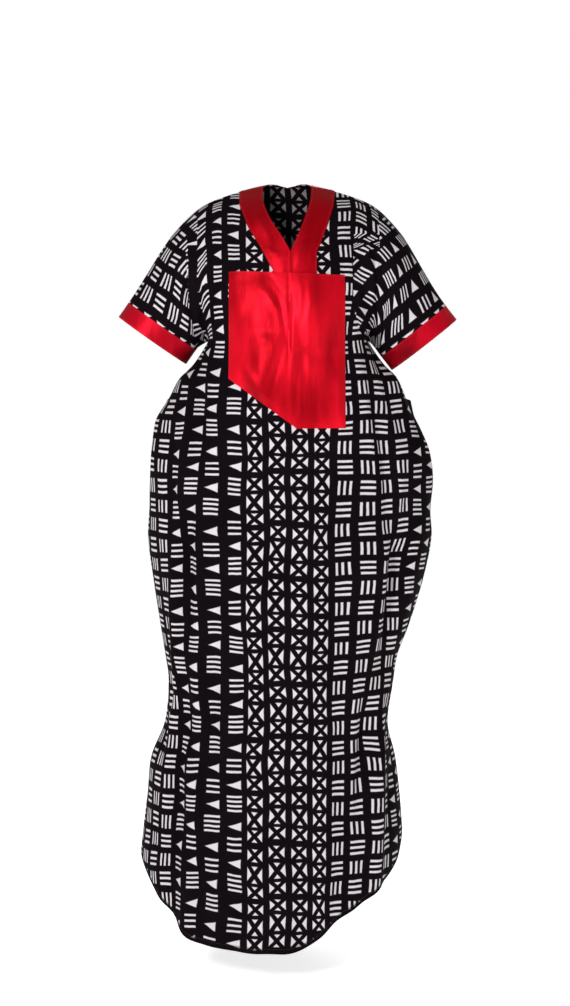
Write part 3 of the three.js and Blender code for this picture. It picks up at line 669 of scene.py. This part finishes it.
def flat_cut(half, body, arm, end):
    """Where each point lies in the flat cloth: across from the centre line, and down."""
    across = body[:, -1:, 0] + SIGN[half] * run_along(body[:, ::-1], 1)[:, ::-1]
    down = -body[..., 2]
    down[: ARMPIT + 1] = down[ARMPIT] - run_along(body[ARMPIT::-1, :, 1:], 0)[::-1]
    out = SIGN[half] * (SLEEVE_CUT_END - run_along(arm, 1))
    return (
        np.stack([across, down], -1),
        np.stack([out, run_along(arm, 0) + down[0, 0]], -1),
        np.stack([run_along(end, 1), run_along(end, 0)], -1),
    )


def cut_cells(cloth, which, keep):
    """Triangles of some cells, cut where keep falls below nothing, with their flat-cut places."""
    values = keep(cloth.points)
    values = np.where(np.abs(values) < SNAP, 0, values)
    known = np.column_stack([cloth.points, cloth.normals, cloth.heap])
    fresh, added = [], {}

    def cut_point(a, b):
        a, b = min(a, b), max(a, b)
        if (a, b) not in added:
            added[a, b] = len(known) + len(fresh)
            fresh.append(lerp(known[a], known[b], values[a] / (values[a] - values[b])))
        return added[a, b]

    triangles, cuts, touched = [], [], set()
    for cell in np.flatnonzero(which):
        four = cloth.cells[cell].tolist()
        for order in ((0, 1, 2), (0, 2, 3)):
            three = [(four[i], cloth.cuts[cell, i]) for i in order]
            if not any(values[i] > 0 for i, _ in three):
                continue
            kept = []
            for (i, cut), (j, next_cut) in zip(three, three[1:] + three[:1]):
                if values[i] >= 0:
                    kept.append((i, cut))
                if values[i] * values[j] < 0:
                    t = values[i] / (values[i] - values[j])
                    kept.append((cut_point(i, j), lerp(cut, next_cut, t)))
            for second, third in zip(kept[1:], kept[2:]):
                ids, places = zip(kept[0], second, third)
                triangles.append(ids)
                cuts.append(places)
            touched.update(four)
    known = np.vstack([known] + fresh)
    cloth.points, cloth.normals, cloth.heap = known[:, :3], unit(known[:, 3:6]), known[:, 6]
    return np.array(triangles), np.array(cuts), np.array(sorted(touched))


def free_edges(faces):
    """Edges that have a face on one side only, in its own turning sense, and where each starts."""
    a, b = faces.ravel(), np.roll(faces, -1, axis=1).ravel()
    size = int(faces.max()) + 1
    alone = ~np.isin(a * size + b, b * size + a)
    return a[alone], b[alone], np.flatnonzero(alone)


def wall(points, normals, faces, cuts, low, high):
    """A closed wall of cloth: faces at two heights over the points, joined round every free edge."""
    a, b, at = free_edges(faces)
    pull = np.zeros_like(points)
    inward = unit(np.cross(normals[a] + normals[b], unit(points[b] - points[a])))
    np.add.at(pull, a, inward)
    np.add.at(pull, b, inward)
    pull *= 2 * SEAM_DRAW / np.maximum((pull**2).sum(1, keepdims=True), 1)
    used, faces_in = np.unique(faces, return_inverse=True)
    faces_in = faces_in.reshape(faces.shape)
    place = np.zeros(len(points), int)
    place[used] = np.arange(len(used))
    n = len(used)
    base = points[used] + pull[used]
    verts = np.vstack([base + normals[used] * h[used, None] for h in (high, low)])
    turned = faces_in[:, ::-1] + n
    a_in, b_in = place[a], place[b]
    rim = np.stack([a_in, a_in + n, b_in + n, b_in], 1)
    loops = cuts.reshape(-1, 2)
    size = faces.shape[1]
    after = np.where(at % size == size - 1, at - size + 1, at + 1)
    rim_cut = np.stack([loops[at], loops[at], loops[after], loops[after]], 1)
    polygons = faces_in.tolist() + turned.tolist() + rim.tolist()
    uv = np.concatenate([loops, cuts[:, ::-1].reshape(-1, 2), rim_cut.reshape(-1, 2)])
    return verts, polygons, uv


def add_mesh(name, verts, polygons, uv=None, material=None, sharp=50):
    mesh = bpy.data.meshes.new(name)
    mesh.from_pydata((np.asarray(verts) * MM).tolist(), [], polygons)
    if uv is not None:
        layer = mesh.uv_layers.new(name="cut")
        layer.uv.foreach_set("vector", np.asarray(uv, np.float32).ravel())
    mesh.polygons.foreach_set("use_smooth", [True] * len(mesh.polygons))
    mesh.set_sharp_from_angle(angle=math.radians(sharp))
    mesh.materials.append(material)
    piece = bpy.data.objects.new(name, mesh)
    bpy.context.scene.collection.objects.link(piece)
    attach(piece, "root")
    return piece


def panel(cloth, name, material, lining=None):
    """A piece of the sheet itself as a wall, with its inner faces lined by their own material."""
    which = cloth.piece == name
    high = np.zeros(len(cloth.points))
    low = high - (COTTON if lining else SATIN)
    cells, cuts = cloth.cells[which], cloth.cuts[which]
    verts, polygons, uv = wall(cloth.points, cloth.normals, cells, cuts, low, high)
    piece = add_mesh(f"{name}_cloth", verts, polygons, uv, material)
    if lining:
        mesh, count = piece.data, len(cells)
        mesh.materials.append(lining)
        inner = np.zeros(len(mesh.polygons), np.int32)
        inner[count : 2 * count] = 1
        mesh.polygons.foreach_set("material_index", inner)
        used = np.unique(cells)
        band = mesh.attributes.new("hem", "FLOAT", "POINT")
        band.data.foreach_set("value", np.tile(cloth.hem[used], 2).astype(np.float32))
    return piece


def laid(cloth, name, which, keep, material, extra):
    """A satin piece laid on the sheet, over whatever is on it already."""
    faces, cuts, touched = cut_cells(cloth, which, keep)
    low = cloth.heap + LAID_GAP + extra(cloth.points)
    high = low + SATIN
    verts, polygons, uv = wall(cloth.points, cloth.normals, faces, cuts, low, high)
    cloth.heap[touched] = high[touched]
    edge = outline(faces, cloth.points, cloth.normals, high)
    return add_mesh(f"{name}_cloth", verts, polygons, uv, material), edge


def outline(faces, points, normals, high):
    """The free edges as loops of (place, normal, inward), in order."""
    a, b, _ = free_edges(faces)
    follow = dict(zip(a.tolist(), b.tolist()))
    loops = []
    while follow:
        start = next(iter(follow))
        ids, i = [start], follow.pop(start)
        while i != start and i in follow:
            ids.append(i)
            i = follow.pop(i)
        ids = np.array(ids)
        p = points[ids] + normals[ids] * high[ids, None]
        ahead = unit(np.roll(p, -1, axis=0) - np.roll(p, 1, axis=0))
        loops.append((p, normals[ids], unit(np.cross(normals[ids], ahead))))
    return loops


def yoke_point(face, half, column, row):
    """One point of the yoke."""
    return yoke(face, half, np.array(float(column)), np.array(float(row)))[0]


def neck_line(half):
    """The neck's edge on one half, from below the V up over the shoulder to the centre back."""
    rows = [yoke_point("front", half, ALL_COLUMNS, V_POINT_ROW - i) for i in range(V_POINT_ROW + 1)]
    slant = unit(rows[0] - rows[2])
    tail = [rows[0] + slant * TAIL_LENGTH] if half == "right" else []
    behind = [yoke_point("back", half, ALL_COLUMNS, row) for row in BACK_NECK_ROWS]
    return np.array(tail + rows + behind)


def neckband(cloth, half, material):
    """A band along one half of the neck; the left one runs down as the placket."""
    line = neck_line(half)
    is_left = half == "left"
    last = {
        "front": PLACKET_LAST_ROW if is_left else PANEL_FIRST_ROW,
        "back": V_POINT_ROW + 1,
    }
    which = np.zeros(len(cloth.cells), bool)
    for face in FACES:
        which |= cloth.body(face, half) & (cloth.row < (last[face] + 1) * FINE)

    def keep(points):
        band = BAND_WIDTH - nearest(points, line)[0]
        if not is_left:
            return band
        under = (points[:, 1] < 0) & (points[:, 2] < line[0][2])
        return np.maximum(band, np.where(under, PLACKET_EDGE - points[:, 0], -FAR))

    def ridges(points):
        from_edge = np.minimum(nearest(points, line)[0], keep(points))
        inside = np.clip(from_edge / BAND_FADE, 0, 1)
        high = crease_height(BAND_RIDGES, points[:, 0], points[:, 2])
        return inside * high * (points[:, 1] < 0)

    return laid(cloth, f"neckband_{half}", which, keep, material, ridges)


def chest_panel(cloth, material):
    """The panel over the placket, its lower right corner cut off slanting."""
    which = (
        (cloth.piece == "front")
        & (cloth.part == "body")
        & (cloth.column >= SIDE_COLUMNS * FINE)
        & (cloth.row >= PANEL_FIRST_ROW * FINE)
        & (cloth.row < PANEL_LAST_ROW * FINE)
    )
    bottom = yoke_point("front", "right", SIDE_COLUMNS, YOKE_ROWS)[2]
    right, left = (COLUMNS["front", half][0] for half in HALVES)
    (from_x, from_z), (to_x, to_z) = PANEL_CUT
    along = unit(np.array([to_x - from_x, to_z - from_z], float))

    def keep(points):
        x, z = points[:, 0], points[:, 2]
        corner = (z - from_z) * along[0] - (x - from_x) * along[1]
        return np.where(z > bottom, FAR, np.minimum(corner, z - to_z))

    def ridges(points):
        x, z = points[:, 0], points[:, 2]
        inside = 1.0
        for from_edge in (x - right, left - x, keep(points)):
            inside = inside * np.clip(from_edge / PANEL_FADE, 0, 1)
        high = PANEL_LIFT + crease_height(SATIN_RIDGES, x, z)
        return inside * np.maximum(high, 0) * (points[:, 1] < 0)

    return laid(cloth, "chest_panel", which, keep, material, ridges)


def pocket(half, mouth, material):
    """A bag behind a side opening; its mouth follows the opening's edges on the inside."""
    count = len(mouth)
    x, y, z = mouth.mean(0)
    turn = 2 * math.pi * np.arange(count) / count
    rings = [mouth]
    for inward, high, thick, sag in POCKET_RINGS:
        ring = (y - thick * np.sin(turn), z - sag + high * np.cos(turn))
        rings.append(np.stack([np.full(count, x - SIGN[half] * inward), *ring], -1))
    at = np.arange((len(rings) - 1) * FINE + 1) / FINE
    fine = read(range(len(rings)), np.array(rings), at)
    rows = len(fine)

    # The end is closed by a few rows of points between the last ring's two sides
    half_way = count // 2
    before, behind = np.arange(half_way + 1), np.r_[0, np.arange(count - 1, half_way - 1, -1)]
    last = fine[-1]
    cap = np.stack([lerp(last[before], last[behind], t) for t in (0.25, 0.5, 0.75)])
    points = np.vstack([fine.reshape(-1, 3), cap.reshape(-1, 3)])
    grid = np.arange(rows * count).reshape(rows, count)
    base = (rows - 1) * count
    inner = rows * count + np.arange(len(cap) * (half_way + 1)).reshape(len(cap), -1)
    inner[:, 0], inner[:, -1] = base, base + half_way
    across = np.vstack([base + before, inner, base + behind])
    flip = SIGN[half] < 0
    grids = np.hstack([grid, grid[:, :1]]), across
    cells = np.concatenate([corners_of(each, flip).reshape(-1, 4) for each in grids])
    triangles = np.concatenate([cells[:, [0, 1, 2]], cells[:, [0, 2, 3]]])
    triangles = triangles[[len(set(t)) == 3 for t in triangles.tolist()]]
    normals = point_normals(points, triangles)
    high = np.zeros(len(points))
    cuts = points[triangles][..., [1, 2]]
    verts, polygons, uv = wall(points, normals, triangles, cuts, high - POCKETING, high)
    return add_mesh(f"pocket_{half}_cloth", verts, polygons, uv, material)


def mouth_edges(cloth, half):
    """The edges of a side opening, inside the panels' walls."""
    sides = []
    for face in FACES:
        which = cloth.body(face, half) & (cloth.column == 0) & (cloth.row >= ARMPIT)
        sides.append(cloth.cells[which, 3 if is_turned(face, half) else 0])
    open_rows = np.flatnonzero(sides[0] != sides[1])
    rows = slice(open_rows[0] - 1, open_rows[-1] + 2)
    front, back = (
        cloth.points[ids[rows]] - cloth.normals[ids[rows]] * (COTTON + LAID_GAP) for ids in sides
    )
    return np.vstack([front, back[-2:0:-1]])


def hem_line(cloth, face):
    """The line that holds the hem on one face, a row and a half up from the edge."""
    sides = []
    for half in HALVES:
        which = np.flatnonzero(cloth.body(face, half) & (cloth.row == LAST - 2))
        four = cloth.cells[which[np.argsort(cloth.column[which])]]
        if is_turned(face, half):
            four = four[:, ::-1]
        upper, lower = (np.append(four[:, i], four[-1, 3 - i]) for i in (0, 1))
        place = (cloth.points[upper] + cloth.points[lower]) / 2
        sides.append((place, cloth.normals[upper]))
    (right, right_up), (left, left_up) = sides
    place, up = np.vstack([right, left[-2::-1]]), np.vstack([right_up, left_up[-2::-1]])
    return [(place, up, np.zeros_like(place))]


def stitches(name, loops, inset, material, closed=True):
    """Rows of short raised stitches along lines or closed loops, a distance in from them."""
    verts, polygons = [], []
    for place, normal, inward in loops:
        line = place + inward * inset
        if closed:
            line, normal = np.vstack([line, line[:1]]), np.vstack([normal, normal[:1]])
        run = np.r_[0, np.cumsum(lengths(line, 0))]
        for start in np.arange(0, run[-1] - STITCH, STITCH_PITCH):
            spots = np.array([start, start + STITCH / 2, start + STITCH])
            mid = np.stack([np.interp(spots, run, line[:, k]) for k in range(3)], -1)
            up = unit(np.array([np.interp(spots[1], run, normal[:, k]) for k in range(3)]))
            ahead = unit(mid[2] - mid[0])
            side = unit(np.cross(ahead, up))
            first = len(verts)
            verts.append(mid[0] - up * STITCH_SUNK)
            for t in STITCH_FULL:
                core = lerp(mid[0], mid[2], t) + up * THREAD * STITCH_RISE
                for angle in math.pi / 4 + np.arange(4) * QUARTER:
                    way = math.cos(angle) * side + math.sin(angle) * up
                    verts.append(core + THREAD * way)
            verts.append(mid[2] - up * STITCH_SUNK)
            for k in range(4):
                near, after = first + 1 + k, first + 1 + (k + 1) % 4
                polygons.append([first, after, near])
                polygons.append([near, after, after + 4, near + 4])
                polygons.append([first + 9, near + 4, after + 4])
    return add_mesh(name, verts, polygons, None, material, sharp=180)


def operator(operation):
    """A method that does one of the shader's sums with another value."""
    return lambda self, other: self.math(operation, other)


class Wire:
    """A value, vector or colour in a material's shader, with arithmetic."""

    def __init__(self, tree, socket):
        self.tree, self.socket = tree, socket

    def node(self, kind, inputs, output=0, **settings):
        made = self.tree.nodes.new(kind)
        for key, value in settings.items():
            setattr(made, key, value)
        for key, value in inputs.items():
            if isinstance(value, Wire):
                self.tree.links.new(value.socket, made.inputs[key])
            else:
                made.inputs[key].default_value = value
        return Wire(self.tree, made.outputs[output])

    def math(self, operation, *values):
        inputs = dict(enumerate((self,) + values))
        return self.node("ShaderNodeMath", inputs, operation=operation)

    __add__ = __radd__ = operator("ADD")
    __sub__ = operator("SUBTRACT")
    __mul__ = __rmul__ = operator("MULTIPLY")
    __truediv__ = operator("DIVIDE")
    __mod__ = operator("FLOORED_MODULO")
    least, most = operator("MINIMUM"), operator("MAXIMUM")
    below = operator("LESS_THAN")

    def __rsub__(self, other):
        return self * -1.0 + other

    def __abs__(self):
        return self.math("ABSOLUTE")

    def floor(self):
        return self.math("FLOOR")

    def inside(self, soft):
        """1 where the value is above nothing, over a soft edge."""
        return (self / soft + 0.5).most(0.0).least(1.0)

    def parts(self):
        made = self.tree.nodes.new("ShaderNodeSeparateXYZ")
        self.tree.links.new(self.socket, made.inputs[0])
        return [Wire(self.tree, out) for out in made.outputs]

    def vector(self, y, z):
        return self.node("ShaderNodeCombineXYZ", {0: self, 1: y, 2: z})

    def noise(self, scale, detail, output=0):
        inputs = {"Vector": self, "Scale": scale, "Detail": detail}
        return self.node("ShaderNodeTexNoise", inputs, output)

    def mix(self, a, b):
        """a where the value is 0 and b where it is 1, both colours."""
        inputs = {"Factor": self, 6: a, 7: b}
        return self.node("ShaderNodeMix", inputs, output=2, data_type="RGBA")


def linear(red, green, blue):
    """A colour given as 0 to 255 in sRGB, as the linear one that a shader takes."""

    def one(value):
        value /= 255
        return value / 12.92 if value <= 0.04045 else ((value + 0.055) / 1.055) ** 2.4

    return (one(red), one(green), one(blue), 1.0)


def fabric(name, **constants):
    """A material with some of its shader's sockets set."""
    material = bpy.data.materials.new(name)
    material.use_nodes = True
    tree = material.node_tree
    shader = next(n for n in tree.nodes if n.type == "BSDF_PRINCIPLED")
    for key, value in constants.items():
        shader.inputs[key.replace("_", " ")].default_value = value
    return material, tree, shader


def box(x, y, wide, high):
    """Above nothing inside a box, half its sizes given."""
    return (wide - abs(x)).least(high - abs(y))


def bars(at, pitch, half):
    """Above nothing inside a row of bars, one of them in the middle."""
    return half - abs((at + pitch / 2) % pitch - pitch / 2)


def print_pattern(u, v):
    """1 on the light motifs and 0 on the dark ground."""
    place = u / PITCH + PRINT_FROM
    column = place.floor() % PRINT_COLUMNS
    is_box, is_early = column.below(LAST_BOX), column.below(LAST_BASKET)
    later = (1.0 - is_early) * (BASKET_SHIFT - TRIANGLE_SHIFT)
    x = (place % 1.0 - 0.5) * PITCH - ((1.0 - is_box) * BASKET_SHIFT - later)
    starts = column.node("ShaderNodeValToRGB", {"Fac": (column + 0.5) / PRINT_COLUMNS})
    ramp = starts.socket.node.color_ramp
    ramp.interpolation = "CONSTANT"
    for i, start in enumerate(COLUMN_STARTS):
        at = i / PRINT_COLUMNS
        stop = ramp.elements[i] if i < 2 else ramp.elements.new(at)
        stop.position = at
        stop.color = (start / START_SCALE,) * 3 + (1,)
    y = v - starts * START_SCALE

    # Boxes crossed by an X
    large, small, last = X_CENTRES
    down = (y + large) % X_PERIOD
    second, third = (down.below(end) for end in X_ENDS)
    centre = last - third * (last - small) - second * (small - large)
    high = X_SMALL + second * (X_BIG - X_SMALL)
    a, b = abs(x) / X_WIDE, abs(down - centre) / high
    sides = (a * X_SLOPE - X_GAP - b).least(1.0 - a)
    ends = (b - a * X_SLOPE - X_GAP).least(1.0 - b)
    boxes = (sides.most(ends) * X_BIG).inside(SOFT)

    # Baskets
    middle, wide, high, pitch = LYING
    down = (y + middle) % BASKET_PERIOD
    lying_y = down - middle
    lying = box(x, lying_y, wide, high).least(bars(lying_y, pitch, BASKET_BAR))
    middle, wide, high, pitch = STANDING
    standing = box(x, down - middle, wide, high).least(bars(x, pitch, BASKET_BAR))
    baskets = lying.most(standing).inside(SOFT)

    # Triangles and their groups of bars
    middle, wide, high, pitch = FOUR
    down = (y + middle + TRIANGLE_OVER) % TRIANGLE_PERIOD - TRIANGLE_OVER
    slope = (x + TRIANGLE_HALF) * TRIANGLE_SLOPE
    nearer = abs(down).least(abs(down - SECOND_TRIANGLE))
    triangle = (slope - nearer).least(TRIANGLE_HALF - x)
    four = down - middle
    group_four = box(x, four, wide, high).least(bars(four - pitch / 2, pitch, TRIANGLE_BAR))
    middle, wide, high, pitch = THREE
    three = down - middle
    group_three = box(x, three, wide, high).least(bars(three, pitch, TRIANGLE_BAR))
    triangles = triangle.most(group_four).most(group_three).inside(SOFT)

    return boxes * is_box + baskets * (is_early - is_box) + triangles * (1.0 - is_early)


def bump(root, shader, height, strength, distance):
    """Feeds a height to the shader's normal."""
    inputs = {"Height": height, "Strength": strength, "Distance": distance}
    made = root.node("ShaderNodeBump", inputs)
    root.tree.links.new(made.socket, shader.inputs["Normal"])


def print_cotton(name, through):
    """through is how much of the print shows, less on the wrong side."""
    material, tree, shader = fabric(name, Roughness=0.85, Specular_IOR_Level=0.05)
    root = Wire(tree, None)
    cut = root.node("ShaderNodeUVMap", {}, uv_map="cut")
    u, v, _ = cut.parts()
    for scale, size in WOBBLES:
        across, down, _ = cut.noise(scale, 1.0, output=1).parts()
        u, v = u + (across - 0.5) * size, v + (down - 0.5) * size
    hem = root.node("ShaderNodeAttribute", {}, output=2, attribute_name="hem")
    motif = print_pattern(u, v) * (1.0 - hem) * through
    grain, cloud = cut.noise(*GRAIN), cut.noise(*CLOUD)
    dark = cloud.mix(linear(5, 2, 4), linear(17, 10, 14))
    light = cloud.mix(linear(202, 195, 201), linear(220, 214, 218))
    light = (grain * 0.35).mix(light, linear(176, 166, 173))
    colour = motif.mix(dark, light)
    tree.links.new(colour.socket, shader.inputs["Base Color"])
    weave = (u * WEAVE).math("SINE") * (v * WEAVE).math("SINE") + grain * 0.8
    bump(root, shader, weave + motif * 0.3, *COTTON_BUMP)
    return material


def satin(name, deep, bright, shade_above, lift):
    """Satin with painted sheen and shade: noise streaks mix deep and bright, its shaded and lit
    colours. Above the height given after them, lift paints the colour darker as shade, or lighter where
    lift is below nothing.
    """
    material, tree, shader = fabric(
        name,
        Metallic=0.35,
        Roughness=0.42,
        Specular_IOR_Level=0.5,
        Specular_Tint=(1.0, 0.1, 0.16, 1.0),
    )
    root = Wire(tree, None)
    where = root.node("ShaderNodeTexCoord", {}, output=3)
    x, y, z = where.parts()
    broad = x.vector(y, z * 0.4).noise(*BROAD)
    streak = (x * 1.4).vector(y, z * 0.5).noise(*STREAK)
    # Painted sheen and shade: broad and fine noise streaks mix the deep (shaded) and bright (lit)
    # colours
    tone = (broad * 0.8 + streak * 0.3 - SHEEN_MIDDLE) * SHEEN_CONTRAST
    # Painted shade: darker above the given height by lift, and lighter there where lift is below
    # nothing
    tone = tone - ((z - shade_above) * SATIN_SHADE_TURN).inside(1.0) * lift
    colour = tone.inside(1.0).mix(deep, bright)
    tree.links.new(colour.socket, shader.inputs["Base Color"])
    bump(root, shader, broad + streak * 0.2, *SATIN_BUMP)
    return material


def plain(name, colour, roughness, scale):
    """A cloth or thread of one slightly uneven colour."""
    material, tree, shader = fabric(name, Roughness=roughness)
    root = Wire(tree, None)
    where = root.node("ShaderNodeTexCoord", {}, output=3)
    tone = where.noise(scale, 3.0)
    darker = tuple(c * 0.75 for c in colour[:3]) + (1.0,)
    tree.links.new(tone.mix(darker, colour).socket, shader.inputs["Base Color"])
    return material


def build():
    """Makes the materials, sheets and stitches, and hides the CAD parts that the sheets stand for."""
    cloth = weave_garment()
    cotton = print_cotton("printed cotton", 1.0)
    wrong_side = print_cotton("printed cotton wrong side", WRONG_SIDE)
    # Both satins paint sheen and shade into their colour; the red one is painted darker at the top of
    # the neckbands, above about -0.05 m, as shade
    red = satin("red satin", linear(150, 0, 10), linear(226, 14, 36), -0.05, 1.3)
    # The cuffs' satin is a darker, shaded copy of the red satin, painted lighter above about -0.265 m,
    # so that its lower parts read as painted shade
    shaded_crimson = satin("red satin cuffs", linear(108, 0, 8), linear(196, 8, 32), -0.265, -0.5)
    bag = plain("pocketing", linear(24, 20, 24), 0.9, 40.0)
    thread = plain("red thread", linear(205, 16, 34), 0.6, 80.0)
    dark_thread = plain("dark thread", linear(46, 38, 44), 0.7, 80.0)

    mouths = {half: mouth_edges(cloth, half) for half in HALVES}
    sheets = {face: panel(cloth, face, cotton, wrong_side) for face in FACES}
    for half in HALVES:
        sheets[f"cuff_{half}"] = panel(cloth, f"cuff_{half}", shaded_crimson)
    edges = {}
    for half in HALVES:
        name = f"neckband_{half}"
        sheets[name], edges[name] = neckband(cloth, half, red)
    sheets["chest_panel"], edges["chest_panel"] = chest_panel(cloth, red)
    for half in HALVES:
        sheets[f"pocket_{half}"] = pocket(half, mouths[half], bag)
        cells = cloth.cells[cloth.piece == f"cuff_{half}"]
        flush = np.zeros(len(cloth.points))
        edges[f"cuff_{half}"] = outline(cells, cloth.points, cloth.normals, flush)
    sewn = {}
    for face in FACES:
        line = hem_line(cloth, face)
        sewn[face] = stitches(f"{face}_topstitch", line, 0.0, dark_thread, closed=False)
    for name, loops in edges.items():
        sewn[name] = stitches(f"{name}_topstitch", loops, STITCH_INSET, thread)
    for name, piece in sheets.items():
        with_pieces = [sewn[name]] if name in sewn else []
        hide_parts(name)
        for each in [piece] + with_pieces:
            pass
        "hung" if name in FACES else "laid"
        "back_cloth" if name == "front" else "front_cloth"


def studio():
    """A pale floor, soft lights and the camera."""
    scene = bpy.context.scene
    world = bpy.data.worlds.new("studio")
    scene.world = world
    world.use_nodes = True
    background = world.node_tree.nodes["Background"]
    background.inputs["Color"].default_value = (1, 1, 1, 1)
    seen = Wire(world.node_tree, None).node("ShaderNodeLightPath", {})
    strength = seen * (1.0 - AROUND) + AROUND
    world.node_tree.links.new(strength.socket, background.inputs["Strength"])
    for name, place, power, size in LIGHTS:
        data = bpy.data.lights.new(name, "AREA")
        data.energy, data.size = power, size
        lamp = bpy.data.objects.new(name, data)
        lamp.location = place
        lamp.rotation_mode = "QUATERNION"
        aim = Vector(LIGHT_AIM) - Vector(place)
        lamp.rotation_quaternion = aim.to_track_quat("-Z", "Y")
        scene.collection.objects.link(lamp)
    bpy.ops.mesh.primitive_plane_add(size=FLOOR_SIZE, location=FLOOR_PLACE)
    floor = bpy.context.object
    floor.name = "studio floor"
    material, _, shader = fabric("studio floor", Roughness=0.9)
    shader.inputs["Base Color"].default_value = (0.97, 0.97, 0.97, 1)
    shader.inputs["Emission Color"].default_value = (1, 1, 1, 1)
    shader.inputs["Emission Strength"].default_value = FLOOR_GLOW
    floor.data.materials.append(material)

    camera = bpy.data.cameras.new("camera")
    camera.lens = LENS
    camera.shift_y = SHIFT_DOWN
    eye = bpy.data.objects.new("camera", camera)
    eye.location = (MIDDLE_X, -CAMERA_DISTANCE, CAMERA_HEIGHT)
    eye.rotation_euler = (QUARTER, 0, 0)
    scene.collection.objects.link(eye)
    scene.camera = eye
    scene.view_settings.view_transform = "Standard"


build()
studio()
